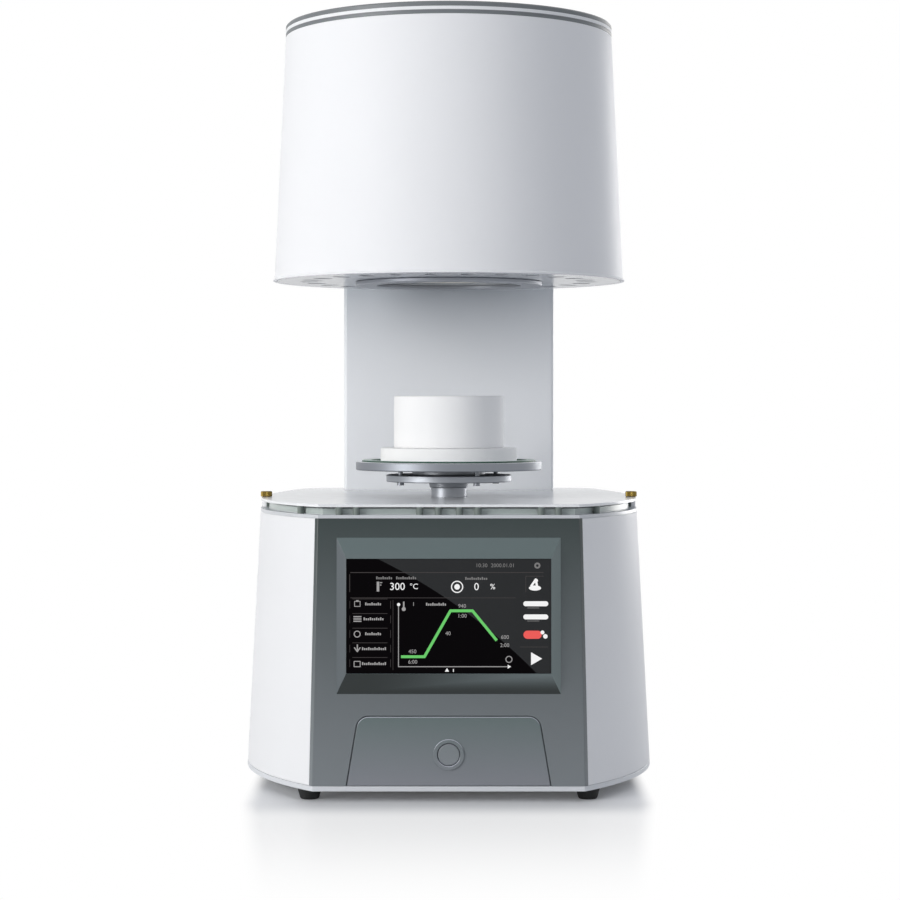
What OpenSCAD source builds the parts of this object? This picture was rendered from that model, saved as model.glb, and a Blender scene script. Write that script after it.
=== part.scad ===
// Vacuum furnace for a dental laboratory. The firing tray rises on a screw lift from the base into the
// round heating head, which hangs from a column at the back. Z is up, the front faces -Y.

/* [Base] */
// Distance from the lift axis forward to the foot of the front
base_front = 160; // [155:0.5:165]
// Distance from the lift axis back to the rear wall
base_back = 205; // [204:0.5:212]
// Half width of the base at its foot, level with the lift axis
base_half = 164; // [160:0.5:168]
// Radius of the curved sides in front of the lift axis
side_r_front = 240; // [236:1:250]
// Radius of the flatter sides behind the lift axis
side_r_rear = 800; // [740:10:900]
// Radius of the two rear corners
rear_corner_r = 30; // [24:1:34]
// Inward lean of the sides, degrees
side_lean = 3.06; // [2.6:0.02:3.4]
// Backward lean of the front, degrees
front_lean = 2.23; // [1.8:0.01:2.6]
// Height of the rubber feet
foot_h = 8.3; // [6:0.1:12]
// Radius of a foot where it meets the base
foot_r = 9.5; // [8:0.1:11]
// Taper of a foot from top to bottom
foot_taper = 2.2; // [1:0.1:3]
// Radius of the screw recess in a foot
foot_recess_r = 3.4; // [2.5:0.1:4]
// Half distance between the front feet
foot_x = 106; // [98:0.5:108]
// Distance from the lift axis to the front feet
foot_front = 140; // [132:0.5:145]
// Distance from the lift axis to the rear feet
foot_back = 175; // [165:0.5:185]
// Height of the rim of the base pan
pan_h = 3.9; // [3:0.1:6]
// Thickness of the floor of the base pan
pan_floor = 2; // [1.5:0.1:2.5]
// Height of the white shell above the pan
shell_h = 201.8; // [200:0.1:206]
// Wall of the white shell
shell_wall = 2.5; // [2:0.1:3]
// Width of one air slot in the pan
pan_slot_w = 4; // [3:0.1:5]
// Length of an air slot in the pan
pan_slot_l = 46; // [30:1:60]

/* [Deck] */
// Thickness of the top frame that closes the base
frame_t = 2.5; // [2:0.1:3.5]
// Distance of the inner curb from the edge of the top frame
curb_inset = 6.6; // [6.6:0.1:8]
// Thickness of the inner curb
curb_t = 1.5; // [1:0.1:2]
// Height of the air gap between the top frame and the deck
deck_gap = 5.9; // [5.4:0.1:7]
// Air space left above the curb
curb_air = 1.2; // [0.8:0.1:2]
// Thickness of the deck plate
deck_t = 2.2; // [1.8:0.1:3]
// Radius of the small pillars under the deck
pillar_r = 2.6; // [2:0.1:2.8]
// Distance from the deck's edge to the middle of a pillar
pillar_edge = 3.2; // [3:0.1:3.4]
// Distance from the deck's edge to the middle of a thumb screw
brass_edge = 3.1; // [3:0.1:5]
// Radius of the head of a thumb screw
brass_r = 4.65; // [4:0.05:5]
// Height of the head of a thumb screw
brass_h = 4.4; // [3.5:0.1:6]
// Radius of the shank of a thumb screw
brass_shank_r = 1.5; // [1.2:0.05:1.6]
// Radius of the white spacer below a thumb screw
brass_spacer_r = 3.6; // [3:0.1:3.6]

/* [Front] */
// Thickness of the front panel
panel_t = 3; // [2.8:0.1:4]
// Width of the touch screen
screen_w = 154.7; // [150:0.1:158]
// Height of the touch screen
screen_h = 86.6; // [82:0.1:90]
// Height of the middle of the screen above the table
screen_z = 140.5; // [138:0.5:143]
// Thickness of the screen's glass
screen_t = 2; // [1.5:0.1:3]
// Depth of the display module behind the glass
module_t = 8; // [6:0.5:10]
// Width of the sloping bezel beside the screen
bezel_side = 7.35; // [6:0.05:10]
// Width of the sloping bezel above and below the screen
bezel_rise = 15.7; // [13:0.1:17]
// Distance that the bezel stands out of the panel
bezel_h = 6; // [4:0.1:8]
// Height of the lower insert
insert_h = 51.8; // [48:0.1:54]
// Half width of the lower insert at its foot
insert_half = 76.7; // [72:0.1:80]
// Inward slope of the insert's sides over its height
insert_slope = 8.7; // [6:0.1:12]
// Radius of the insert's upper corners
insert_r = 9; // [6:0.5:12]
// Thickness of the lower insert
insert_t = 2.2; // [2:0.1:2.4]
// Width of the groove round the insert
groove = 0.8; // [0.5:0.1:1.2]
// Height of the power button above the table
button_z = 36; // [34:0.5:40]
// Radius of the power button
button_r = 8.4; // [7.5:0.1:9]
// Width of the ring round the power button
button_ring_w = 3.3; // [2.6:0.1:4]
// Distance that the power button can be pushed in
button_travel = 2.5; // [1.5:0.1:3]
// Depth of the button's housing behind the panel
button_deep = 16; // [14:0.5:20]

/* [Tray lift] */
// Radius of the lift shaft
shaft_r = 14.3; // [13:0.1:15]
// Rest height of the lower end of the shaft
shaft_low = 35; // [34:0.1:37]
// Rest height of the underside of the lift carriage
carriage_z = 36; // [35:0.5:38]
// Thickness of the lift carriage
carriage_t = 14; // [12:0.5:16]
// Half width of the lift carriage
carriage_half = 56; // [54:1:58]
// Half distance between the guide rods
rod_x = 42; // [40:0.5:46]
// Distance of the guide rods behind the shaft
rod_y = 22; // [18:0.5:26]
// Radius of a guide rod
rod_r = 5; // [4:0.1:6]
// Wall of a guide bush
rod_bush_wall = 3; // [2:0.1:4]
// Distance that a guide bush stands out of the carriage at each end
rod_bush_out = 2; // [1:0.1:2.5]
// Distance of the lead screw behind the shaft
screw_y = 50; // [48:0.5:54]
// Radius of the lead screw
screw_r = 6; // [5:0.1:7]
// Radius of the lead screw's upper journal
journal_r = 4; // [3:0.1:4.5]
// Wall of the lift nut
nut_wall = 5; // [4:0.1:6]
// Distance of the lift motor behind the shaft
motor_y = 105; // [102:0.5:108]
// Width of the lift motor
motor_w = 57; // [50:0.5:58]
// Height of the lift motor
motor_h = 56; // [50:1:76]
// Radius of the motor's shaft
motor_shaft_r = 3.2; // [2.5:0.1:4]
// Radius of the two belt pulleys
pulley_r = 12; // [10:0.1:13]
// Height of a belt pulley
pulley_h = 10; // [8:0.5:10]
// Rest height of the belt pulleys
pulley_z = 14; // [13:0.5:15]
// Thickness of the drive belt
belt_t = 1.5; // [1:0.1:2]
// Height of the lift's lower plate above the table
plate_z = 26; // [25.5:0.5:26.5]
// Thickness of the lift's plates
plate_t = 6; // [5:0.5:7]
// Height of the lift's upper plate above the table
upper_plate_z = 200; // [199:0.5:202]
// Half width of the lift's plates
plate_half = 62; // [60:0.5:64]
// Reach of the lift's plates in front of the shaft
plate_front = 32; // [30:0.5:36]
// Reach of the lower plate behind the shaft
plate_back = 136; // [134:0.5:138]
// Reach of the upper plate behind the shaft
upper_plate_back = 68; // [64:0.5:76]
// Radius of the lift's four legs
leg_r = 5; // [4:0.1:6]
// Distance of a leg from the plate's edges
leg_edge = 8; // [6.5:0.5:10]
// Wall of the bush that guides the shaft
shaft_bush_wall = 5.6; // [4.5:0.1:7]
// Thickness of the flange on that bush
shaft_bush_flange = 4; // [3:0.1:5]

/* [Electronics] */
// Space between the lift's plates and the electronics
bay_gap = 4; // [3:0.5:6]
// Space between the side of the base and the electronics
bay_wall = 22; // [20:0.5:26]
// Distance of the middle of the electronics behind the lift axis
bay_y = 5; // [0:1:10]
// Length of the control board
board_l = 126; // [116:1:130]
// Thickness of the control board
board_t = 1.6; // [1.2:0.1:2]
// Height of the pillars under the control board
board_pillar_h = 8; // [6:0.5:12]
// Radius of a pillar under the control board
board_pillar_r = 3; // [2.5:0.1:4]
// Distance of those pillars from the board's edges
board_pillar_edge = 6; // [5:0.5:8]
// Length of the power supply
supply_l = 130; // [116:1:134]
// Height of the power supply
supply_h = 42; // [36:1:50]
// Width of an air slot in the power supply
supply_slot_w = 4; // [3:0.5:5]
// Distance between two of those slots
supply_slot_pitch = 10; // [8:0.5:11]

/* [Firing tray] */
// Radius of the small steel flange on the shaft
hub_flange_r = 51.1; // [49:0.1:56]
// Height of the underside of the small flange above the table
hub_flange_z = 237; // [236:0.1:240]
// Thickness of the small flange
hub_flange_t = 5.7; // [4.5:0.1:7]
// Radius of the neck between the small flange and the tray
neck_r = 30; // [24:0.5:36]
// Height of the neck, which is the air gap under the tray
neck_h = 4; // [3:0.1:6]
// Radius of the circle of flange screws
hub_screw_circle = 45; // [43:0.1:46]
// Radius of a flange screw's head
hub_screw_head_r = 2.8; // [2.4:0.1:3.2]
// Radius of a flange screw's shank
hub_screw_r = 1.9; // [1.5:0.1:2.2]
// Radius of the steel tray
tray_r = 76; // [74:0.1:78]
// Thickness of the steel tray
tray_t = 6.8; // [6:0.1:8]
// Inner radius of the sealing ring
seal_in = 63.5; // [62:0.1:65]
// Outer radius of the sealing ring
seal_out = 71; // [69:0.1:73]
// Depth of the sealing ring's groove
seal_deep = 1.6; // [1.2:0.1:2]
// Distance that the sealing ring stands out of the tray
seal_proud = 1.4; // [1:0.1:2]
// Radius of the lower refractory disc
disc_r = 55.7; // [54:0.1:56.5]
// Thickness of the lower refractory disc
disc_t = 11.2; // [9:0.1:12]
// Radius of the upper refractory block
block_r = 44.8; // [42:0.1:45]
// Height of the upper refractory block
block_h = 42.3; // [36:0.1:46]

/* [Column] */
// Distance of the column's face behind the lift axis
column_y = 150; // [149:0.5:151]
// Width of the column
column_w = 184.7; // [182:0.1:187]
// Height of the top of the column above the table
column_top = 575; // [572:1:590]
// Thickness of the column's sheet metal
column_sheet = 1.5; // [1.2:0.1:2]
// Outer radius of the column's folded front edges
column_fold_r = 3; // [2.5:0.1:5]
// Depth of a post
post_d = 24; // [20:0.5:26]
// Width of a post
post_w = 28; // [24:0.5:30]
// Wall of a post
post_wall = 2.5; // [2:0.1:3]
// Half distance between the inner faces of the posts
post_in = 58; // [56:0.5:60]
// Number of air vents in the back of the column
vent_count = 10; // [6:1:12]
// Width of an air vent
vent_w = 90; // [70:1:110]
// Height of an air vent
vent_h = 3.5; // [3:0.1:5]
// Distance between two air vents
vent_pitch = 9; // [8:0.5:12]
// Distance from the column's top down to the highest vent
vent_drop = 50; // [30:1:60]

/* [Head] */
// Height of the head's underside above the table
head_z = 400.3; // [398:0.1:405]
// Radius of the head's shell at its foot
head_r = 142; // [140:0.1:144]
// Radius of the head's shell at its top
head_top_r = 132.6; // [130:0.1:135]
// Height of the head's shell
head_h = 197.4; // [190:0.1:205]
// Thickness of the head's shell
head_wall = 1.6; // [1.2:0.1:2]
// Distance that the lip at the foot of the shell stands out
lip_out = 1.3; // [0.8:0.1:2]
// Height of the lip at the foot of the shell
lip_h = 1.7; // [1.2:0.1:2.5]
// Height of the lower dark ring at the top of the head
dark_ring_h = 3.1; // [2:0.1:4]
// Height of the white ring above it
white_ring_h = 2.7; // [2:0.1:4]
// Height of the dark cap on top
cap_h = 3.8; // [3:0.1:5]
// Width of the two rings
ring_w = 12; // [8:0.5:16]
// Thickness of the plate under the head
under_t = 2; // [1.5:0.1:2.5]
// Number of air slots in the plate under the head
slot_count = 26; // [18:2:30]
// Radius of the ring of air slots
slot_circle = 113; // [112:0.5:120]
// Width of an air slot
slot_w = 9; // [6:0.1:10]
// Length of an air slot, which runs outwards
slot_l = 16; // [12:0.1:18]
// Outer radius of the sealing flange of the chamber
flange_out = 76; // [74:0.1:78]
// Radius of the mouth of the chamber
mouth_r = 59; // [58:0.1:60]
// Thickness of the sealing flange
flange_t = 3.4; // [2.5:0.1:4]
// Outer radius of the vacuum vessel
vessel_r = 92; // [90:0.1:94]
// Wall of the vacuum vessel
vessel_wall = 2; // [1.6:0.1:2.4]
// Height of the vacuum vessel
vessel_h = 157.7; // [154:0.1:164]
// Radius of the vacuum vessel's foot flange
vessel_foot_r = 100; // [98:0.5:104]
// Inner height of the heating chamber
chamber_h = 97; // [94:0.5:100]
// Radius of the bore that holds the heating coil
bore_r = 58.5; // [58.2:0.1:60]
// Inner radius of the quartz liner
liner_r = 47.5; // [46.8:0.1:48]
// Wall of the quartz liner
liner_wall = 2.2; // [1.5:0.1:2.5]
// Thickness of the ledge that carries liner and coil
ledge_t = 3.6; // [3:0.1:5]

/* [Heating coil] */
// Number of turns of the heating coil
coil_turns = 12; // [8:1:14]
// Radius of the coil to the middle of its wire
coil_r = 54.1; // [53.8:0.1:54.4]
// Radius of the coil's wire
wire_r = 1.6; // [1.2:0.1:1.8]
// Depth of the holes that take the coil's ends
lead_deep = 12; // [8:0.5:16]

/* [Head mounting] */
// Half width of the saddle between column and head
saddle_half = 75; // [72:0.5:78]
// Height of the foot of the saddle above the table
saddle_z = 425; // [422:1:428]
// Height of the saddle
saddle_h = 135; // [130:1:140]
// Wall of the saddle
saddle_wall = 2.5; // [2:0.1:3]
// Height of the foot of the steel arm above the table
arm_z = 450; // [446:1:454]
// Height of the steel arm
arm_h = 60; // [56:1:64]
// Wall of the steel arm
arm_wall = 4; // [3:0.1:5]

/* [Rear] */
// Half width of the rear panel
rear_half = 100; // [97:0.5:101]
// Height of the foot of the rear panel above the table
rear_z = 18; // [15:0.5:19]
// Height of the rear panel
rear_h = 179; // [178:0.5:182]
// Thickness of the rear panel
rear_t = 1.5; // [1:0.1:2]
// Overlap of the rear panel on the shell
rear_lap = 8; // [6:0.5:10]
// Height of the row of mains fittings above the table
mains_z = 45; // [44:0.5:48]
// Distance of the mains inlet and the pump outlet from the middle
mains_x = 52; // [50:0.5:54]
// Width of a mains fitting's flange
mains_flange_w = 48; // [46:0.5:50]
// Height of a mains fitting's flange
mains_flange_h = 24; // [22.5:0.5:26]
// Thickness of a mains fitting's flange
mains_flange_t = 3; // [2.5:0.1:3.5]
// Width of a mains fitting's body
mains_body_w = 27.5; // [27:0.1:29]
// Height of a mains fitting's body
mains_body_h = 20; // [19.5:0.1:21]
// Depth of a mains fitting's body behind the panel
mains_body_d = 20; // [18:0.5:21]
// Width of the inlet's socket
socket_w = 24.2; // [23.8:0.1:25]
// Height of the inlet's socket
socket_h = 16.2; // [16:0.1:17]
// Distance of the inlet's pins below its mouth
pin_low = 5.2; // [5:0.1:6]
// Half width of the mains switch
switch_half_w = 9.5; // [8.5:0.1:10]
// Half height of the mains switch
switch_half_h = 13.6; // [12:0.1:14]
// Angle that the mains switch tilts to each side
switch_tilt = 10; // [8:0.5:12]
// Height of the fan's axis above the table
fan_z = 118; // [114:1:124]
// Width of the fan
fan_w = 60; // [56:1:64]
// Depth of the fan
fan_d = 25; // [20:1:25]
// Radius of the fan's air way
fan_r = 28.4; // [26:0.1:28.8]
// Number of fan blades
fan_blades = 7; // [5:1:9]
// Angle of a fan blade, degrees
blade_angle = 38; // [30:1:45]
// Thickness of a fan blade
blade_t = 1.4; // [1:0.1:2]
// Distance of the vacuum line from the middle
vacuum_x = 46; // [44:0.5:47]
// Height of the vacuum nipple above the table
nipple_z = 180; // [176:0.5:182]
// Radius of the vacuum nipple
nipple_r = 4; // [3.5:0.1:4.5]
// Length of the nipple's hose end
nipple_l = 13; // [11:0.5:15]
// Thickness of the nipple's nut
nipple_nut_t = 5; // [4:0.1:6]
// Distance of the vacuum pipe behind the lift axis
pipe_y = 190; // [188:0.5:192]
// Radius of the vacuum pipe
pipe_r = 4; // [3.5:0.1:4.5]
// Radius of the pipe's bends
pipe_bend = 9; // [8:0.5:11]
// Wall of the vacuum pipe
pipe_wall = 1; // [0.8:0.1:1.2]
// Wall of the vacuum nipple
nipple_wall = 1.4; // [1:0.1:1.8]
// Height of the pipe's upper run above the table
pipe_top = 480; // [476:1:484]

/* [Clearances] */
// Gap between a seated piece and its seat
seat_gap = 0.3; // [0.2:0.05:0.4]
// Radial clearance of a sliding or turning fit
run_gap = 0.05; // [0.03:0.01:0.08]
// Gap between a plug-in piece and its opening
slip_gap = 0.15; // [0.1:0.05:0.2]
// Radial clearance of a screw in its hole
screw_gap = 0.2; // [0.1:0.05:0.3]

/* [Hidden] */
$fn = 96;
far = 600;
nudge = 1;
// A rounding stands this much past its straight neighbours, so that exact solids join cleanly
tangent_lap = 0.002;
foot_edge = 0.8;
foot_floor = 2.5;
pan_top = foot_h + pan_h;
floor_z = foot_h + pan_floor;
shell_top = pan_top + shell_h;
ledge_z = shell_top + frame_t;
curb_h = deck_gap - curb_air;
deck_z = ledge_z + deck_gap;
deck_top = deck_z + deck_t;
front_slope = tan(front_lean);
side_slope = tan(side_lean);
brass_x = half_at(deck_top) - brass_edge;
corner_y = base_back - rear_corner_r;
rear_circle_x = base_half - side_r_rear;
front_circle_x = base_half - side_r_front;
corner_x = rear_circle_x + sqrt(pow(side_r_rear - rear_corner_r, 2) - pow(corner_y, 2));
corner_angle = atan2(corner_y, corner_x - rear_circle_x);
// The screen stands further forward than the foot of the base
screen_foot = up(screen_z) - screen_h / 2;
front_reach = max(base_front, base_front - screen_foot * sin(front_lean) + bezel_h * cos(front_lean));
rear_face = base_back + rear_t;
rear_reach = rear_face + nipple_nut_t + nipple_l;
lift_y = (front_reach - rear_reach) / 2;
// Pillars along the front edge, and the angles of those on the curved sides
pillar_x = [8, 22, 70, 83];
pillar_front_angle = 32;
pillar_rear_angles = [7, 12];
deck_shaft_gap = 1.2;
brass_chamfer = 0.5;
module_margin = 3;
button_wall = 1.3;
window_half = 86;
window_low = 24;
window_top = 192;
insert_gap = 0.4;
button_hole_r = button_r + seat_gap;
button_barrel_r = button_hole_r + button_wall;
button_proud = 0.4;
button_ring_t = 1;
button_len = 10;
insert_low = pan_top + insert_gap;
hub_top = hub_flange_z + hub_flange_t;
shaft_high = hub_top - 1;
hub_cone_h = 5;
hub_cone_grow = 2.2;
hub_screw_head_h = 2.4;
hub_screw_grip = 3;
turned_chamfer = 0.8;
tray_z = hub_top + neck_h;
tray_top = tray_z + tray_t;
seal_top = tray_top + seal_proud;
disc_top = tray_top + disc_t;
block_top = disc_top + block_h;
edge_r = 1.2;
flange_z = head_z - flange_t;
lift_travel = flange_z - seal_top - seat_gap;
carriage_top = carriage_z + carriage_t;
carriage_front = shaft_r + 10;
carriage_back = screw_y + screw_r + nut_wall + 4;
upper_plate_top = upper_plate_z + plate_t;
leg_x = plate_half - leg_edge;
leg_front = plate_front - leg_edge;
leg_back = plate_back - leg_edge;
shaft_bush_r = shaft_r + run_gap + shaft_bush_wall;
shaft_bush_low = upper_plate_z - 2;
shaft_bush_rim = 5;
motor_chamfer = 4;
pulley_rim = 1;
screw_low = pulley_z - 2;
bay_low = plate_half + bay_gap;
bay_high = base_half - bay_wall;
bay_w = bay_high - bay_low;
bay_x = (bay_low + bay_high) / 2;
// Size of a relay and of the processor on the control board, and radius and height of its capacitors
relay = [24, 16, 12];
processor = [34, 34, 5];
capacitor_r = 9;
capacitor_h = 22;
supply_slot_deep = 2;
supply_rib = 12;
column_back_y = base_back - column_sheet;
column_half = column_w / 2;
column_hole_half = column_half - 4;
column_hole_front = column_y + 3.5;
column_hole_back = base_back - 4;
post_front = column_y + column_sheet + 3.5;
post_top = column_top - 15;
post_foot_t = 4;
post_foot_margin = 3;
arm_half = post_in - seat_gap;
arm_window = post_in + 3;
arm_margin = 5;
shell_foot = head_z + lip_h;
lip_edge = 0.5;
head_top = head_z + head_h;
white_ring_z = head_top + dark_ring_h;
cap_z = white_ring_z + white_ring_h;
under_top = head_z + under_t;
under_r = head_r - head_wall - seat_gap;
disc_reach = disc_top + lift_travel;
ledge_low = disc_reach + 1;
ledge_top = ledge_low + ledge_t;
chamber_top = ledge_top + chamber_h;
vessel_top = under_top + vessel_h;
vessel_in = vessel_r - vessel_wall;
vessel_foot_t = 3;
vessel_lid = 2.5;
fibre_r = vessel_in - seat_gap;
mouth_taper = 0.5;
boss_r = 6;
boss_y = 84;
cap_slot_circles = [40, 62, 84, 106];
cap_slots = 12;
cap_slot_w = 3.5;
cap_rib = 10.5;
coil_low = ledge_top + wire_r + seat_gap;
coil_high = chamber_top - wire_r - 3;
coil_pitch = (coil_high - coil_low) / coil_turns;
coil_steps = 24;
coil_sides = 6;
coil_bend = 3.4;
bend_steps = 4;
probe_r = 3;
probe_low = chamber_top - 12;
probe_head_r = 8;
probe_head_h = 12;
probe_stem = 6;
mains_in = base_back - mains_body_d;
mains_screw_r = 1.6;
mains_screw_edge = 4;
// Width and height of a flat pin, and its place from the middle of the inlet
pin_w = 2;
pin_h = 4;
pin_x = 7;
pin_y = 2;
outlet_groove = 1.2;
switch_rim = 2;
switch_wall = 1;
// Half depth of the rocker's back, its waist and its two ends
rocker_back = [-3, -6];
rocker_waist = 2.4;
rocker_end = 4.6;
rocker_y = base_back - 0.5;
rocker_r = switch_half_h - 1.1;
rocker_half_w = switch_half_w - switch_wall - seat_gap;
trunnion_r = 1.4;
fan_floor = 3;
fan_tip_gap = 1;
fan_spoke = 4;
fan_axle_r = 2;
fan_screw_r = 2.1;
fan_screw_edge = 4;
rotor_d = fan_d - fan_floor - 4 * fan_tip_gap;
fan_axle_l = rotor_d - fan_tip_gap;
// Radii of the guard's rings as shares of the air way's radius, and the thickness of its wire
guard_rings = [0.3, 0.52, 0.74, 0.96];
guard_wire = 1.8;
guard_reach = sqrt(2) * (fan_w / 2 - fan_screw_edge) + 2 * fan_screw_r;
nipple_step = 1;
nut_len = carriage_t + 6;
nut_rim = 4;

// Distance up the leaning front from the foot of the base to height z
function up(z) = (z - foot_h) / cos(front_lean);
// Distance of the leaning front from the lift axis at height z
function front_at(z) = base_front - (z - foot_h) * front_slope;
// Half width of the base at height z, level with the lift axis
function half_at(z) = base_half - (z - foot_h) * side_slope;

// Everything is placed from the lift axis and then moved so that the origin is below the middle
module from_lift() {
  translate([0, lift_y, 0]) children();
}

module both_sides() {
  children();
  mirror([1, 0, 0]) children();
}

module ring(outer, inner, height) {
  difference() {
    cylinder(h = height, r = outer);
    translate([0, 0, -nudge]) cylinder(h = height + 2 * nudge, r = inner);
  }
}

module middle_box(width, depth, height) {
  translate([-width / 2, -depth / 2, 0]) cube([width, depth, height]);
}

// x is across, y is up the leaning front and z is out of it
module on_front() {
  translate([0, -base_front, foot_h]) rotate([90 - front_lean, 0, 0]) children();
}

// x is across as seen from the front, y is up and z is out of the back
module on_rear(x, z, y) {
  translate([x, y, z]) rotate([-90, 0, 0]) mirror([0, 1, 0]) children();
}

// Plan of the right side: a round front part, a flatter rear part and a rounded rear corner
module side_plan(inset, back) {
  intersection() {
    translate([front_circle_x, 0]) circle(r = side_r_front - inset, $fn = 256);
    translate([-far, -far]) square([2 * far, far]);
  }
  difference() {
    intersection() {
      translate([rear_circle_x, 0]) circle(r = side_r_rear - inset, $fn = 256);
      translate([-far / 2, 0]) square([far, base_back - back]);
    }
    difference() {
      polygon([
        [corner_x, corner_y],
        [corner_x + far * cos(corner_angle), corner_y + far * sin(corner_angle)],
        [corner_x + far, corner_y + far],
        [corner_x, corner_y + far]
      ]);
      translate([corner_x, corner_y]) circle(r = rear_corner_r - max(inset, back));
    }
  }
}

module leaning_side(inset, back) {
  translate([0, 0, foot_h]) rotate([0, -side_lean, 0]) translate([0, 0, -far / 10])
    linear_extrude(height = far / 2) side_plan(inset, back);
}

// Solid form of the base between two heights, drawn in from its sides, front and back
module base_form(inset, front, back, low, high) {
  intersection() {
    leaning_side(inset, back);
    mirror([1, 0, 0]) leaning_side(inset, back);
    on_front() translate([-far / 2, -far / 10, -far - front]) cube([far, far / 2, far]);
    translate([-far / 2, -far / 2, low]) cube([far, far, high - low]);
  }
}

module base_pan() {
  color("gainsboro") from_lift() difference() {
    base_form(0, 0, 0, foot_h, pan_top);
    base_form(shell_wall, panel_t, shell_wall, floor_z, pan_top + nudge);
    for (x = [-3 : 3]) translate([x * 3 * pan_slot_w, -plate_front - pan_slot_l, foot_h - nudge])
      middle_box(pan_slot_w, pan_slot_l, pan_floor + 2 * nudge);
    foot_places() translate([0, 0, foot_h - nudge])
      cylinder(h = pan_floor + 2 * nudge, r = foot_recess_r / 2 + screw_gap);
  }
}

module foot_places() {
  both_sides() {
    translate([foot_x, -foot_front, 0]) children();
    translate([foot_x, foot_back, 0]) children();
  }
}

module rubber_feet() {
  color("black") from_lift() foot_places() rotate_extrude() polygon([
    [foot_recess_r, 0],
    [foot_r - foot_taper - foot_edge, 0],
    [foot_r - foot_taper, foot_edge],
    [foot_r, foot_h],
    [foot_recess_r / 2, foot_h],
    [foot_recess_r / 2, foot_h - foot_floor],
    [foot_recess_r, foot_h - foot_floor]
  ]);
}

module base_shell() {
  color("white") from_lift() difference() {
    base_form(0, panel_t, 0, pan_top, shell_top);
    base_form(shell_wall, panel_t + shell_wall, shell_wall, pan_top - nudge, shell_top + nudge);
    on_front() translate([-window_half, up(window_low), -4 * panel_t])
      cube([2 * window_half, window_top - window_low, 4 * panel_t]);
    translate([-rear_half + rear_lap, base_back - 2 * shell_wall, rear_z + rear_lap])
      cube([2 * (rear_half - rear_lap), 4 * shell_wall, rear_h - 2 * rear_lap]);
  }
}

// Outline of the lower insert, grown outwards by an amount
module insert_outline(grow) {
  side = sqrt(insert_slope * insert_slope + insert_h * insert_h);
  nx = insert_h / side;
  ny = insert_slope / side;
  round_y = insert_h - insert_r;
  round_x = insert_half - insert_slope * round_y / insert_h - insert_r / nx;
  reach = insert_r + grow;
  both_sides() {
    polygon([
      [0, -grow],
      [insert_half + grow / nx + insert_slope * grow / insert_h, -grow],
      [round_x + reach * nx, round_y + reach * ny],
      [round_x, round_y],
      [round_x, insert_h + grow],
      [0, insert_h + grow]
    ]);
    translate([round_x, round_y]) circle(r = reach + tangent_lap);
  }
}

module front_panel() {
  color("slategray") from_lift() difference() {
    intersection() {
      base_form(0, 0, 0, pan_top, shell_top);
      on_front() translate([-far / 2, 0, -panel_t]) cube([far, far, 2 * panel_t]);
    }
    on_front() {
      translate([-screen_w / 2 + module_margin, screen_foot + module_margin, -2 * panel_t])
        cube([screen_w - 2 * module_margin, screen_h - 2 * module_margin, 4 * panel_t]);
      translate([0, up(insert_low), -insert_t]) linear_extrude(height = panel_t) insert_outline(groove);
      translate([0, up(button_z), -2 * panel_t])
        cylinder(h = 4 * panel_t, r = button_barrel_r + screw_gap);
    }
  }
}

// The bezel slopes from the panel up to the edge of the screen, steeper at the sides
module screen_bezel() {
  color("darkslategray") from_lift() on_front() translate([0, up(screen_z), 0]) difference() {
    intersection() {
      rotate([90, 0, 0]) translate([0, 0, -screen_h]) linear_extrude(height = 2 * screen_h) polygon([
        [-screen_w / 2 - bezel_side, 0],
        [screen_w / 2 + bezel_side, 0],
        [screen_w / 2, bezel_h],
        [-screen_w / 2, bezel_h]
      ]);
      rotate([90, 0, 90]) translate([0, 0, -screen_w]) linear_extrude(height = 2 * screen_w) polygon([
        [-screen_h / 2 - bezel_rise, 0],
        [screen_h / 2 + bezel_rise, 0],
        [screen_h / 2, bezel_h],
        [-screen_h / 2, bezel_h]
      ]);
    }
    translate([0, 0, bezel_h - screen_t - seat_gap])
      middle_box(screen_w - 2 * slip_gap, screen_h - 2 * slip_gap, 2 * screen_t);
    translate([0, 0, -nudge])
      middle_box(screen_w - 2 * module_margin, screen_h - 2 * module_margin, bezel_h + nudge);
  }
}

module touch_screen() {
  color("black") from_lift() on_front() translate([0, up(screen_z), 0]) {
    translate([0, 0, bezel_h - screen_t - seat_gap])
      middle_box(screen_w - 4 * slip_gap, screen_h - 4 * slip_gap, screen_t);
    translate([0, 0, bezel_h - screen_t - seat_gap - module_t])
      middle_box(screen_w - 3 * module_margin, screen_h - 3 * module_margin, module_t + screen_t / 2);
  }
}

module lower_panel() {
  color("slategray") from_lift() on_front() difference() {
    translate([0, up(insert_low), -insert_t]) linear_extrude(height = insert_t) insert_outline(0);
    translate([0, up(button_z), -2 * insert_t])
      cylinder(h = 4 * insert_t, r = button_barrel_r + screw_gap);
  }
}

module button_ring() {
  color("gray") from_lift() on_front() translate([0, up(button_z), 0]) {
    ring(button_r + button_ring_w, button_hole_r, button_ring_t);
    translate([0, 0, -button_deep]) ring(button_barrel_r, button_hole_r, button_deep + button_ring_t);
    translate([0, 0, -button_deep - button_ring_t]) cylinder(h = button_ring_t, r = button_barrel_r);
  }
}

module power_button() {
  color("slategray") from_lift() on_front() translate([0, up(button_z), button_proud - button_len])
    rotate_extrude() polygon([
      [0, 0],
      [button_r, 0],
      [button_r, button_len - edge_r / 2],
      [button_r - edge_r / 2, button_len],
      [0, button_len]
    ]);
}

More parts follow.
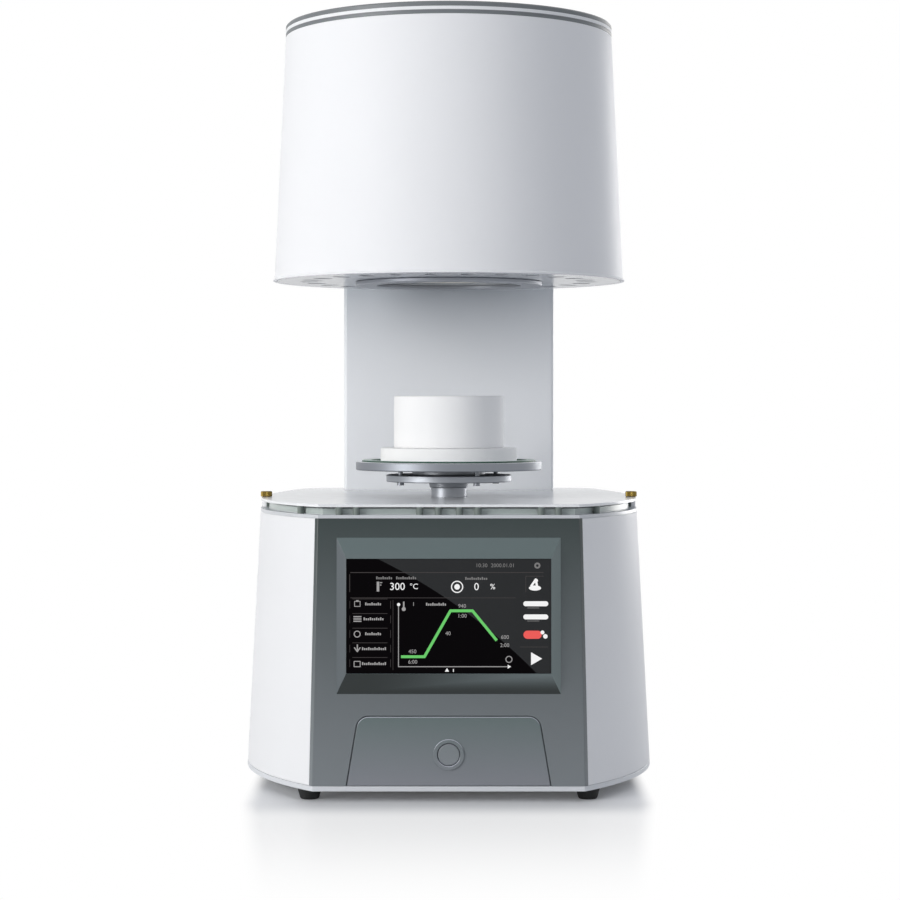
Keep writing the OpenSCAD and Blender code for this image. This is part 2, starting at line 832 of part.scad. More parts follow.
module rear_panel() {
  color("gainsboro") from_lift() difference() {
    translate([-rear_half, base_back, rear_z]) cube([2 * rear_half, rear_t, rear_h]);
    for (x = [-mains_x, mains_x]) on_rear(x, mains_z, base_back - nudge)
      middle_box(mains_body_w + 2 * seat_gap, mains_body_h + 2 * seat_gap, rear_t + 2 * nudge);
    on_rear(0, mains_z, base_back - nudge) middle_box(
      2 * (switch_half_w + seat_gap),
      2 * (switch_half_h + seat_gap),
      rear_t + 2 * nudge
    );
    on_rear(0, fan_z, base_back - nudge) cylinder(h = rear_t + 2 * nudge, r = fan_r);
    on_rear(-vacuum_x, nipple_z, base_back - nudge)
      cylinder(h = rear_t + 2 * nudge, r = nipple_r + nipple_step + screw_gap);
  }
}

// Screw holes in the flange of a mains fitting
module flange_holes() {
  for (x = [-1, 1]) translate([x * (mains_flange_w / 2 - mains_screw_edge), 0, mains_body_d])
    cylinder(h = 4 * mains_flange_t, r = mains_screw_r);
}

// Appliance inlet with three flat pins below its mouth
module mains_inlet() {
  color("dimgray") from_lift() on_rear(-mains_x, mains_z, mains_in) {
    difference() {
      union() {
        middle_box(mains_body_w, mains_body_h, mains_body_d + rear_t + nudge);
        translate([0, 0, mains_body_d + rear_t])
          middle_box(mains_flange_w, mains_flange_h, mains_flange_t);
      }
      translate([0, 0, shell_wall]) middle_box(socket_w, socket_h, far);
      flange_holes();
    }
    pin_len = mains_body_d + rear_t + mains_flange_t - shell_wall - pin_low;
    for (x = [-1 : 1]) translate([x * pin_x, pin_y * (1 - 2 * abs(x)), shell_wall - nudge])
      middle_box(pin_w, pin_h, pin_len + nudge);
  }
}

// Outlet that feeds the vacuum pump, with three slots
module pump_socket() {
  color("dimgray") from_lift() on_rear(mains_x, mains_z, mains_in) difference() {
    union() {
      middle_box(mains_body_w, mains_body_h, mains_body_d + rear_t + nudge);
      translate([0, 0, mains_body_d + rear_t])
        middle_box(mains_flange_w, mains_flange_h, mains_flange_t);
    }
    translate([0, 0, mains_body_d + rear_t + mains_flange_t / 2]) difference() {
      middle_box(socket_w + outlet_groove, socket_h + outlet_groove, mains_flange_t);
      translate([0, 0, -nudge])
        middle_box(socket_w - outlet_groove, socket_h - outlet_groove, mains_flange_t + 2 * nudge);
    }
    for (x = [-1 : 1]) translate([x * pin_x, pin_y * (2 * abs(x) - 1), mains_body_d / 2])
      middle_box(pin_w + 2 * screw_gap, pin_h + 2 * screw_gap, far);
    flange_holes();
  }
}

module main_switch() {
  color("black") from_lift() on_rear(0, mains_z, mains_in) difference() {
    union() {
      middle_box(2 * switch_half_w, 2 * switch_half_h, mains_body_d + rear_t + nudge);
      translate([0, 0, mains_body_d + rear_t])
        middle_box(2 * (switch_half_w + switch_rim), 2 * (switch_half_h + switch_rim), switch_rim);
    }
    translate([0, 0, shell_wall])
      middle_box(2 * (switch_half_w - switch_wall), 2 * (rocker_r + seat_gap), far);
    translate([-far / 2, 0, rocker_y - mains_in]) rotate([0, 90, 0])
      cylinder(h = far, r = trunnion_r + run_gap);
  }
}

module switch_rocker() {
  color("firebrick") from_lift() translate([0, rocker_y, mains_z]) rotate([switch_tilt, 0, 0]) {
    rotate([90, 0, 90]) translate([0, 0, -rocker_half_w]) linear_extrude(height = 2 * rocker_half_w)
      intersection() {
        circle(r = rocker_r);
        polygon([
          [rocker_back[0], -switch_half_h],
          [rocker_end, -switch_half_h],
          [rocker_waist, 0],
          [rocker_end, switch_half_h],
          [rocker_back[0], switch_half_h],
          [rocker_back[1], 0]
        ]);
      }
    translate([-switch_half_w, 0, 0]) rotate([0, 90, 0]) cylinder(h = 2 * switch_half_w, r = trunnion_r);
  }
}

module vacuum_nipple() {
  inner_y = pipe_y + pipe_bend + seat_gap;
  color("silver") from_lift() on_rear(-vacuum_x, nipple_z, inner_y) difference() {
    union() {
      cylinder(h = rear_face - inner_y + nudge, r = nipple_r + nipple_step);
      translate([0, 0, rear_face - inner_y]) cylinder(h = nipple_nut_t, r = 2 * nipple_r, $fn = 6);
      cylinder(h = rear_reach - inner_y, r = nipple_r);
    }
    translate([0, 0, -nudge]) cylinder(h = far, r = nipple_r - nipple_wall);
  }
}

// Quarter bend of the vacuum pipe, from straight down to the side
module pipe_elbow() {
  rotate([90, 0, 90]) rotate_extrude(angle = 90) translate([pipe_bend, 0]) difference() {
    circle(r = pipe_r);
    circle(r = pipe_r - pipe_wall);
  }
}

module vacuum_pipe() {
  low = nipple_z + pipe_bend;
  high = pipe_top - pipe_bend;
  color("peru") from_lift() translate([-vacuum_x, pipe_y, 0]) {
    translate([0, 0, low]) ring(pipe_r, pipe_r - pipe_wall, high - low);
    translate([0, -pipe_bend, high]) pipe_elbow();
    translate([0, pipe_bend, low]) rotate([180, 0, 0]) pipe_elbow();
    translate([0, -pipe_bend, pipe_top]) rotate([90, 0, 0])
      ring(pipe_r, pipe_r - pipe_wall, pipe_y - pipe_bend - boss_y - seat_gap);
  }
}

module fan_frame() {
  color("dimgray") from_lift() on_rear(0, fan_z, base_back - slip_gap - fan_d) {
    difference() {
      middle_box(fan_w, fan_w, fan_d);
      translate([0, 0, -nudge]) cylinder(h = fan_d + 2 * nudge, r = fan_r);
      for (x = [-1, 1], y = [-1, 1])
        translate([x * (fan_w / 2 - fan_screw_edge), y * (fan_w / 2 - fan_screw_edge), -nudge])
          cylinder(h = fan_d + 2 * nudge, r = fan_screw_r);
    }
    // Motor carrier on three spokes at the inner side
    cylinder(h = fan_floor, r = fan_r / 2);
    for (a = [30 : 120 : 270]) rotate([0, 0, a]) translate([fan_r / 4, -fan_spoke / 2, 0])
      cube([fan_r * 3 / 4 + nudge, fan_spoke, fan_floor]);
    cylinder(h = fan_axle_l, r = fan_axle_r);
  }
}

module fan_rotor() {
  hub_r = fan_r / 2 - fan_tip_gap / 2;
  rotor_low = fan_floor + fan_tip_gap;
  color("black") from_lift() on_rear(0, fan_z, base_back - slip_gap - fan_d + rotor_low) {
    difference() {
      cylinder(h = rotor_d, r = hub_r);
      translate([0, 0, -nudge])
        cylinder(h = fan_axle_l - rotor_low + run_gap + nudge, r = fan_axle_r + run_gap);
    }
    intersection() {
      ring(fan_r - fan_tip_gap, hub_r - nudge, rotor_d);
      for (k = [0 : fan_blades - 1]) rotate([0, 0, k * 360 / fan_blades])
        translate([hub_r - 2 * nudge, 0, rotor_d / 2]) rotate([blade_angle, 0, 0])
          translate([0, -fan_d, -blade_t / 2]) cube([fan_r, 2 * fan_d, blade_t]);
    }
  }
}

module fan_guard() {
  color("silver") from_lift() on_rear(0, fan_z, rear_face) {
    for (share = guard_rings)
      ring(share * fan_r + guard_wire / 2, share * fan_r - guard_wire / 2, guard_wire);
    for (a = [45 : 90 : 315]) rotate([0, 0, a])
      translate([guard_rings[0] * fan_r, -guard_wire / 2, 0])
        cube([guard_reach - guard_rings[0] * fan_r, guard_wire, guard_wire / 2]);
  }
}

// The plate that closes the base, with a curb set in from its edge
module top_frame() {
  color("silver") from_lift() difference() {
    union() {
      base_form(0, 0, 0, shell_top, ledge_z);
      difference() {
        base_form(curb_inset, curb_inset, curb_inset, ledge_z - nudge, ledge_z + curb_h);
        base_form(curb_inset + curb_t, curb_inset + curb_t, curb_inset + curb_t, ledge_z, deck_z);
      }
    }
    translate([0, 0, shell_top - nudge]) cylinder(h = 2 * frame_t, r = shaft_bush_r + run_gap);
    column_hole(shell_top - nudge, frame_t + 2 * nudge);
    both_sides() {
      translate([brass_x, 0, ledge_z]) cylinder(h = deck_gap, r = brass_spacer_r + seat_gap);
      translate([brass_x, 0, shell_top - nudge]) cylinder(h = 2 * deck_gap, r = brass_shank_r + screw_gap);
      // The curb is open at the back, where the posts stand
      translate([0, column_y + pillar_edge, ledge_z]) cube([column_hole_half, far, deck_gap]);
    }
  }
}

module column_hole(low, height) {
  translate([-column_hole_half, column_hole_front, low])
    cube([2 * column_hole_half, column_hole_back - column_hole_front, height]);
}

// Small pillars along the edge, and two white spacers under the thumb screws
module deck_spacers() {
  lean_in = base_half - half_at(deck_z);
  front_run = side_r_front - pillar_edge;
  rear_run = side_r_rear - pillar_edge;
  color("whitesmoke") from_lift() both_sides() {
    for (x = pillar_x) translate([x, pillar_edge - front_at(deck_z), ledge_z])
      cylinder(h = deck_gap, r = pillar_r);
    translate([
      front_circle_x - lean_in + front_run * cos(pillar_front_angle),
      -front_run * sin(pillar_front_angle),
      ledge_z
    ]) cylinder(h = deck_gap, r = pillar_r);
    for (a = pillar_rear_angles)
      translate([rear_circle_x - lean_in + rear_run * cos(a), rear_run * sin(a), ledge_z])
        cylinder(h = deck_gap, r = pillar_r);
    translate([brass_x, 0, ledge_z]) ring(brass_spacer_r, brass_shank_r + screw_gap, deck_gap);
  }
}

module deck_plate() {
  color("white") from_lift() difference() {
    base_form(0, 0, 0, deck_z, deck_top);
    translate([0, 0, deck_z - nudge]) cylinder(h = deck_t + 2 * nudge, r = shaft_r + deck_shaft_gap);
    column_hole(deck_z - nudge, deck_t + 2 * nudge);
    both_sides() translate([brass_x, 0, deck_z - nudge])
      cylinder(h = deck_t + 2 * nudge, r = brass_shank_r + screw_gap);
  }
}

module brass_screws() {
  color("goldenrod") from_lift() both_sides() translate([brass_x, 0, 0]) {
    translate([0, 0, deck_top]) rotate_extrude() polygon([
      [0, 0],
      [brass_r, 0],
      [brass_r, brass_h - brass_chamfer],
      [brass_r - brass_chamfer, brass_h],
      [0, brass_h]
    ]);
    translate([0, 0, shell_top]) cylinder(h = deck_top - shell_top, r = brass_shank_r);
  }
}

module shaft_bush() {
  color("goldenrod") from_lift() {
    translate([0, 0, shaft_bush_low]) ring(shaft_bush_r, shaft_r + run_gap, ledge_z - shaft_bush_low);
    translate([0, 0, ledge_z])
      ring(shaft_bush_r + shaft_bush_rim, shaft_r + run_gap, shaft_bush_flange);
  }
}

module rod_places() {
  both_sides() translate([rod_x, rod_y, 0]) children();
}

module leg_places() {
  both_sides() {
    translate([leg_x, -leg_front, 0]) children();
    translate([leg_x, leg_back, 0]) children();
  }
}

// Lower plate of the lift on four legs, which also carries the motor
module lift_base() {
  color("silver") from_lift() difference() {
    union() {
      translate([-plate_half, -plate_front, plate_z])
        cube([2 * plate_half, plate_front + plate_back, plate_t]);
      leg_places() translate([0, 0, floor_z]) cylinder(h = plate_z - floor_z + nudge, r = leg_r);
    }
    rod_places() translate([0, 0, plate_z - nudge]) cylinder(h = 2 * plate_t, r = rod_r + run_gap);
    translate([0, screw_y, plate_z - nudge]) cylinder(h = 2 * plate_t, r = screw_r + run_gap);
    translate([0, motor_y, plate_z - nudge]) cylinder(h = 2 * plate_t, r = 2 * motor_shaft_r);
  }
}

module lift_top() {
  color("silver") from_lift() difference() {
    translate([-plate_half, -plate_front, upper_plate_z])
      cube([2 * plate_half, plate_front + upper_plate_back, plate_t]);
    rod_places() translate([0, 0, upper_plate_z - nudge]) cylinder(h = 2 * plate_t, r = rod_r + run_gap);
    translate([0, screw_y, upper_plate_z - nudge]) cylinder(h = 2 * plate_t, r = journal_r + run_gap);
    translate([0, 0, upper_plate_z - nudge]) cylinder(h = 2 * plate_t, r = shaft_bush_r + run_gap);
  }
}

module guide_rods() {
  color("lightgray") from_lift() rod_places() translate([0, 0, plate_z])
    cylinder(h = upper_plate_top - plate_z, r = rod_r);
}

module lead_screw() {
  color("gray") from_lift() translate([0, screw_y, 0]) {
    translate([0, 0, screw_low]) cylinder(h = upper_plate_z - seat_gap - screw_low, r = screw_r);
    translate([0, 0, upper_plate_z - nudge]) cylinder(h = plate_t + nudge, r = journal_r);
  }
}

// Belt pulley with a rim at each end
module pulley(bore) {
  difference() {
    union() {
      cylinder(h = pulley_h, r = pulley_r - belt_t);
      for (z = [0, pulley_h - pulley_rim]) translate([0, 0, z])
        cylinder(h = pulley_rim, r = pulley_r + pulley_rim);
    }
    translate([0, 0, -nudge]) cylinder(h = pulley_h + 2 * nudge, r = bore);
  }
}

module screw_pulley() {
  color("silver") from_lift() translate([0, screw_y, pulley_z]) pulley(screw_r);
}

module lift_motor() {
  color("dimgray") from_lift() translate([0, motor_y, plate_z + plate_t]) difference() {
    intersection() {
      middle_box(motor_w, motor_w, motor_h);
      rotate([0, 0, 45])
        middle_box(motor_w * sqrt(2) - motor_chamfer, motor_w * sqrt(2) - motor_chamfer, motor_h);
    }
    translate([0, 0, -nudge]) cylinder(h = motor_h / 2, r = motor_shaft_r + run_gap);
  }
}

module motor_pulley() {
  color("silver") from_lift() translate([0, motor_y, pulley_z]) {
    pulley(motor_shaft_r);
    cylinder(h = plate_z + plate_t - pulley_z + motor_h / 4, r = motor_shaft_r);
  }
}

module belt_outline(r) {
  translate([0, screw_y]) circle(r = r);
  translate([0, motor_y]) circle(r = r);
  translate([-r, screw_y]) square([2 * r, motor_y - screw_y]);
}

module drive_belt() {
  inner_r = pulley_r - belt_t + seat_gap;
  color("black") from_lift() translate([0, 0, pulley_z + pulley_rim + seat_gap])
    linear_extrude(height = pulley_h - 2 * (pulley_rim + seat_gap)) difference() {
      belt_outline(inner_r + belt_t);
      belt_outline(inner_r);
    }
}

// Circuit board with its larger components, on four pillars
module control_board() {
  seat = board_pillar_h + board_t / 2;
  color("darkgreen") from_lift() translate([-bay_x, bay_y, floor_z]) {
    for (x = [-1, 1], y = [-1, 1])
      translate([x * (bay_w / 2 - board_pillar_edge), y * (board_l / 2 - board_pillar_edge), 0])
        cylinder(h = seat, r = board_pillar_r);
    translate([0, 0, board_pillar_h]) middle_box(bay_w, board_l, board_t);
    for (share = [-0.35, -0.15, 0.05]) translate([-bay_w / 4, share * board_l, seat])
      middle_box(relay[0], relay[1], relay[2]);
    translate([bay_w / 5, board_l / 4, seat]) middle_box(processor[0], processor[1], processor[2]);
    for (share = [-0.28, -0.08]) translate([bay_w / 5, share * board_l, seat])
      cylinder(h = capacitor_h, r = capacitor_r);
  }
}

// Closed metal case with a row of air slots across its lid
module power_supply() {
  side_slots = floor((supply_l / 2 - supply_rib) / supply_slot_pitch);
  color("silver") from_lift() translate([bay_x, bay_y, floor_z]) difference() {
    middle_box(bay_w, supply_l, supply_h);
    for (k = [-side_slots : side_slots])
      translate([0, k * supply_slot_pitch, supply_h - supply_slot_deep])
        middle_box(bay_w - 2 * supply_rib, supply_slot_w, 2 * supply_slot_deep);
  }
}

module lift_shaft() {
  color("lightgray") from_lift() translate([0, 0, shaft_low])
    cylinder(h = shaft_high - shaft_low, r = shaft_r);
}

module lift_carriage() {
  color("silver") from_lift() translate([0, 0, carriage_z]) difference() {
    translate([-carriage_half, -carriage_front, 0])
      cube([2 * carriage_half, carriage_front + carriage_back, carriage_t]);
    translate([0, 0, -nudge]) cylinder(h = 2 * carriage_t, r = shaft_r);
    rod_places() translate([0, 0, -nudge])
      cylinder(h = 2 * carriage_t, r = rod_r + run_gap + rod_bush_wall);
    translate([0, screw_y, -nudge]) cylinder(h = 2 * carriage_t, r = screw_r + run_gap + nut_wall);
  }
}

module guide_bushes() {
  color("goldenrod") from_lift() rod_places() translate([0, 0, carriage_z - rod_bush_out])
    ring(rod_r + run_gap + rod_bush_wall, rod_r + run_gap, carriage_t + 2 * rod_bush_out);
}

module lift_nut() {
  color("goldenrod") from_lift() translate([0, screw_y, carriage_z]) {
    ring(screw_r + run_gap + nut_wall, screw_r + run_gap, nut_len);
    translate([0, 0, carriage_t]) ring(screw_r + run_gap + nut_wall + nut_rim, screw_r + run_gap, nut_rim);
  }
}

module hub_screw_places() {
  for (a = [30 : 90 : 300]) rotate([0, 0, a]) translate([hub_screw_circle, 0, 0]) children();
}

module shaft_flange() {
  color("silver") from_lift() difference() {
    rotate_extrude() polygon([
      [0, hub_flange_z - hub_cone_h],
      [shaft_r + edge_r, hub_flange_z - hub_cone_h],
      [shaft_r + hub_cone_grow, hub_flange_z],
      [hub_flange_r - turned_chamfer, hub_flange_z],
      [hub_flange_r, hub_flange_z + turned_chamfer],
      [hub_flange_r, hub_top],
      [neck_r, hub_top],
      [neck_r, tray_z],
      [0, tray_z]
    ]);
    translate([0, 0, hub_flange_z - 2 * hub_cone_h])
      cylinder(h = shaft_high - hub_flange_z + 2 * hub_cone_h, r = shaft_r);
    hub_screw_places() translate([0, 0, hub_flange_z - nudge])
      cylinder(h = 2 * hub_flange_t, r = hub_screw_r + screw_gap);
  }
}

module flange_screws() {
  color("lightgray") from_lift() hub_screw_places() {
    translate([0, 0, hub_flange_z - hub_screw_head_h]) cylinder(h = hub_screw_head_h, r = hub_screw_head_r);
    translate([0, 0, hub_flange_z - nudge])
      cylinder(h = tray_z + hub_screw_grip - hub_flange_z, r = hub_screw_r);
  }
}

module tray_plate() {
  color("silver") from_lift() difference() {
    rotate_extrude() polygon([
      [0, tray_z],
      [tray_r - turned_chamfer, tray_z],
      [tray_r, tray_z + turned_chamfer],
      [tray_r, tray_top - turned_chamfer],
      [tray_r - turned_chamfer, tray_top],
      [seal_out + slip_gap, tray_top],
      [seal_out + slip_gap, tray_top - seal_deep],
      [seal_in - slip_gap, tray_top - seal_deep],
      [seal_in - slip_gap, tray_top],
      [0, tray_top]
    ]);
    hub_screw_places() translate([0, 0, tray_z - nudge])
      cylinder(h = hub_screw_grip + nudge, r = hub_screw_r + screw_gap);
  }
}

module seal_ring() {
  h = seal_deep + seal_proud;
  color("seagreen") from_lift() translate([0, 0, tray_top - seal_deep]) rotate_extrude() polygon([
    [seal_in, 0],
    [seal_out, 0],
    [seal_out, h - turned_chamfer],
    [seal_out - turned_chamfer, h],
    [seal_in + turned_chamfer, h],
    [seal_in, h - turned_chamfer]
  ]);
}

// Turned disc with a small rounding at its upper edge
module turned_disc(r, h) {
  rotate_extrude() {
    square([r, h - edge_r]);
    square([r - edge_r, h]);
    translate([r - edge_r, h - edge_r]) circle(r = edge_r);
  }
}

module table_disc() {
  color("white") from_lift() translate([0, 0, tray_top]) turned_disc(disc_r, disc_t);
}

module firing_block() {
  color("white") from_lift() translate([0, 0, disc_top]) turned_disc(block_r, block_h);
}

// Plan of the column's cover, drawn in by an amount
module column_plan(inset) {
  r = column_fold_r - inset;
  w = column_half - inset;
  y = column_y + inset;
  difference() {
    translate([-w, y]) square([2 * w, column_back_y - y]);
    both_sides() translate([w - r, y]) difference() {
      square([2 * r, r]);
      translate([0, r]) circle(r = r);
    }
  }
}

// Folded sheet-metal cover: front, sides and top in one piece
module column_cover() {
  color("lightsteelblue") from_lift() difference() {
    translate([0, 0, deck_top]) linear_extrude(height = column_top - deck_top) column_plan(0);
    translate([0, 0, deck_top - nudge])
      linear_extrude(height = column_top - column_sheet - deck_top + nudge) {
        column_plan(column_sheet);
        translate([-column_half + column_sheet, column_back_y - nudge])
          square([column_w - 2 * column_sheet, 2 * nudge]);
      }
    translate([-arm_window, column_y - nudge, arm_z - arm_margin])
      cube([2 * arm_window, column_sheet + 2 * nudge, arm_h + 2 * arm_margin]);
  }
}

module column_back() {
  color("lightsteelblue") from_lift() difference() {
    translate([-column_half, column_back_y, deck_top])
      cube([column_w, column_sheet, column_top - deck_top]);
    for (k = [0 : vent_count - 1])
      translate([0, column_back_y + column_sheet / 2, column_top - vent_drop - k * vent_pitch])
        middle_box(vent_w, 3 * column_sheet, vent_h);
  }
}

// Two channel-section posts that carry the head
module column_posts() {
  color("gray") from_lift() both_sides() {
    difference() {
      translate([post_in, post_front, floor_z]) cube([post_w, post_d, post_top - floor_z]);
      translate([post_in + post_wall, post_front + post_wall, floor_z + post_foot_t])
        cube([post_w, post_d - 2 * post_wall, post_top]);
    }
    translate([post_in - post_foot_margin, post_front - post_foot_margin, floor_z])
      cube([post_w + 2 * post_foot_margin, post_d + 2 * post_foot_margin, post_foot_t]);
  }
}

// Rectangular steel arm from between the posts to the vacuum vessel
module head_bracket() {
  color("gray") from_lift() difference() {
    translate([-arm_half, 0, arm_z]) cube([2 * arm_half, post_front + post_d, arm_h]);
    translate([-arm_half + arm_wall, -nudge, arm_z + arm_wall])
      cube([2 * (arm_half - arm_wall), far, arm_h - 2 * arm_wall]);
    translate([0, 0, arm_z - nudge]) cylinder(h = arm_h + 2 * nudge, r = vessel_r + seat_gap);
  }
}

// Solid cone of the head's outer form, grown by an amount
module head_cone(grow) {
  translate([0, 0, shell_foot]) cylinder(
    h = head_h - lip_h,
    r1 = head_r + grow,
    r2 = head_top_r + grow
  );
}

// Painted collar between the column and the round head
module head_saddle() {
  color("lightsteelblue") from_lift() difference() {
    translate([-saddle_half, 0, saddle_z]) cube([2 * saddle_half, column_y, saddle_h]);
    translate([-saddle_half + saddle_wall, -nudge, saddle_z + saddle_wall])
      cube([2 * (saddle_half - saddle_wall), far, saddle_h - 2 * saddle_wall]);
    head_cone(seat_gap);
  }
}

module head_shell() {
  color("white") from_lift() difference() {
    rotate_extrude($fn = 180) polygon([
      [head_r - head_wall, head_z],
      [head_r + lip_out, head_z],
      [head_r + lip_out, shell_foot - lip_edge],
      [head_r, shell_foot],
      [head_top_r, head_top],
      [head_top_r - head_wall, head_top],
      [head_r - head_wall, shell_foot]
    ]);
    translate([-arm_window, 0, arm_z - arm_margin])
      cube([2 * arm_window, far, arm_h + 2 * arm_margin]);
  }
}

// One air slot that runs outwards, with round ends
module long_slot(length, width, height) {
  run = length - width;
  middle_box(run, width, height);
  for (x = [-run / 2, run / 2]) translate([x, 0, 0])
    cylinder(h = height, r = width / 2 + tangent_lap, $fn = 32);
}

module under_plate() {
  step = 360 / slot_count;
  color("lightgray") from_lift() translate([0, 0, head_z]) difference() {
    ring(under_r, mouth_r, under_t);
    for (k = [0 : slot_count - 1]) rotate([0, 0, (k + 0.5) * step - 90])
      translate([slot_circle, 0, -nudge]) long_slot(slot_l, slot_w, under_t + 2 * nudge);
  }
}

module chamber_flange() {
  color("silver") from_lift() translate([0, 0, flange_z]) rotate_extrude() polygon([
    [mouth_r, 0],
    [flange_out - turned_chamfer, 0],
    [flange_out, turned_chamfer],
    [flange_out, flange_t],
    [mouth_r, flange_t]
  ]);
}

module vacuum_vessel() {
  color("silver") from_lift() difference() {
    union() {
      translate([0, 0, under_top]) cylinder(h = vessel_h, r = vessel_r);
      translate([0, 0, under_top]) cylinder(h = vessel_foot_t, r = vessel_foot_r);
      translate([-vacuum_x, boss_y, pipe_top]) rotate([90, 0, 0])
        cylinder(h = boss_y - vacuum_x, r = boss_r);
    }
    translate([0, 0, under_top - nudge]) cylinder(h = vessel_h - vessel_lid + nudge, r = vessel_in);
    translate([0, 0, under_top]) cylinder(h = vessel_h + nudge, r = probe_r + seat_gap);
    translate([-vacuum_x, boss_y + nudge, pipe_top]) rotate([90, 0, 0])
      cylinder(h = boss_y - vacuum_x, r = pipe_r - pipe_wall);
  }
}

// Pressed fibre block with a ledge that carries the liner and the coil
module insulation() {
  color("ivory") from_lift() difference() {
    rotate_extrude() polygon([
      [mouth_r, under_top],
      [fibre_r, under_top],
      [fibre_r, vessel_top - vessel_lid - seat_gap],
      [probe_r + seat_gap, vessel_top - vessel_lid - seat_gap],
      [probe_r + seat_gap, chamber_top],
      [bore_r, chamber_top],
      [bore_r, ledge_top],
      [liner_r - seat_gap, ledge_top],
      [liner_r - seat_gap, ledge_low],
      [mouth_r - mouth_taper, ledge_low]
    ]);
    lead_hole(coil_low);
    lead_hole(coil_high);
  }
}

// Radial hole that takes one straight end of the heating coil
module lead_hole(z) {
  translate([0, lead_offset(z), z]) rotate([0, 90, 0])
    cylinder(h = bore_r + lead_deep, r = wire_r + seat_gap, $fn = 32);
}

// The lower end leaves the coil ahead of the axis, and the upper end behind it
function lead_offset(z) = z < (coil_low + coil_high) / 2 ? -coil_bend : coil_bend;

module quartz_liner() {
  color("lightcyan") from_lift() translate([0, 0, ledge_top])
    ring(liner_r + liner_wall, liner_r, chamber_h - seat_gap);
}

// Middle line of the coil: a straight end, a bend, the turns, a bend and a straight end
function coil_line() = concat(
  [[bore_r + lead_deep - seat_gap, -coil_bend, coil_low]],
  [for (k = [0 : bend_steps]) let (a = 90 * k / bend_steps)
    [coil_r + coil_bend * (1 - sin(a)), -coil_bend * cos(a), coil_low]],
  [for (k = [1 : coil_turns * coil_steps - 1]) let (a = 360 * k / coil_steps)
    [coil_r * cos(a), coil_r * sin(a), coil_low + coil_pitch * k / coil_steps]],
  [for (k = [0 : bend_steps]) let (a = 90 * k / bend_steps)
    [coil_r + coil_bend * (1 - cos(a)), coil_bend * sin(a), coil_high]],
  [[bore_r + lead_deep - seat_gap, coil_bend, coil_high]]
);

function unit(v) = v / norm(v);

// Corners of one ring of the tube round a point, square to the direction of the line there
function coil_ring(p, d) =
  let (side = unit(cross(d, [0, 0, 1])), top = cross(side, d))
  [for (k = [0 : coil_sides - 1]) let (a = 360 * k / coil_sides)
    p + wire_r * cos(a) * side + wire_r * sin(a) * top];

// Least distance between the surfaces of neighbouring turns
echo(coil_gap = coil_pitch - 2 * wire_r);

module heating_coil() {
  line = coil_line();
  last = len(line) - 1;
  rings = [for (k = [0 : last]) coil_ring(line[k], unit(line[min(k + 1, last)] - line[max(k - 1, 0)]))];
  points = [for (r = rings, p = r) p];
  sides = [for (k = [0 : last - 1], s = [0 : coil_sides - 1])
    let (a = k * coil_sides + s, b = k * coil_sides + (s + 1) % coil_sides)
    each [[a, b, b + coil_sides], [a, b + coil_sides, a + coil_sides]]];
  ends = [
    [for (s = [coil_sides - 1 : -1 : 0]) s],
    [for (s = [0 : coil_sides - 1]) last * coil_sides + s]
  ];
  color("orangered") from_lift() polyhedron(points = points, faces = concat(sides, ends));
}

// Ceramic probe through the roof of the chamber, with its terminal head on top of the vessel
module thermocouple() {
  color("linen") from_lift() {
    translate([0, 0, probe_low]) cylinder(h = vessel_top + probe_stem - probe_low, r = probe_r);
    translate([0, 0, vessel_top]) cylinder(h = probe_head_h, r = probe_head_r);
  }
}

module dark_ring() {
  color("dimgray") from_lift() translate([0, 0, head_top])
    ring(head_top_r, head_top_r - ring_w, dark_ring_h);
}

module white_ring() {
  color("white") from_lift() translate([0, 0, white_ring_z])
    ring(head_top_r, head_top_r - ring_w, white_ring_h);
}

// One air slot along a circle, with round ends
module curved_slot(r, width, angle, height) {
  rotate([0, 0, -angle / 2]) rotate_extrude(angle = angle) translate([r - width / 2, 0])
    square([width, height]);
  for (a = [-angle / 2, angle / 2]) rotate([0, 0, a]) translate([r, 0, 0])
    cylinder(h = height, r = width / 2, $fn = 32);
}

module top_cap() {
  color("dimgray") from_lift() translate([0, 0, cap_z]) difference() {
    rotate_extrude($fn = 180) polygon([
      [0, 0],
      [head_top_r, 0],
      [head_top_r, cap_h - edge_r],
      [head_top_r - edge_r, cap_h],
      [0, cap_h]
    ]);
    for (r = cap_slot_circles, k = [0 : cap_slots - 1]) rotate([0, 0, k * 360 / cap_slots])
      translate([0, 0, -nudge])
        curved_slot(r, cap_slot_w, 360 / cap_slots - cap_rib / r * 180 / PI, cap_h + 2 * nudge);
  }
}

base_pan();
rubber_feet();
base_shell();
front_panel();
screen_bezel();
touch_screen();
lower_panel();
button_ring();
power_button();
rear_panel();
mains_inlet();
pump_socket();
main_switch();
switch_rocker();
vacuum_nipple();
vacuum_pipe();
fan_frame();
fan_rotor();
fan_guard();
top_frame();
deck_spacers();
deck_plate();
brass_screws();
shaft_bush();
lift_base();
lift_top();
guide_rods();
lead_screw();
screw_pulley();
lift_motor();
motor_pulley();
drive_belt();
control_board();
power_supply();
lift_shaft();
lift_carriage();
guide_bushes();
lift_nut();
shaft_flange();
flange_screws();
tray_plate();
seal_ring();
table_disc();
firing_block();
column_cover();
column_back();
column_posts();
head_bracket();
head_saddle();
head_shell();
under_plate();
chamber_flange();
vacuum_vessel();
insulation();
quartz_liner();
heating_coil();
thermocouple();
dark_ring();
white_ring();
top_cap();
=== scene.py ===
"""Dental laboratory furnace, dressed and lit as for a catalogue photograph."""

import math

import bmesh
import bpy
from mathutils import Matrix, Vector


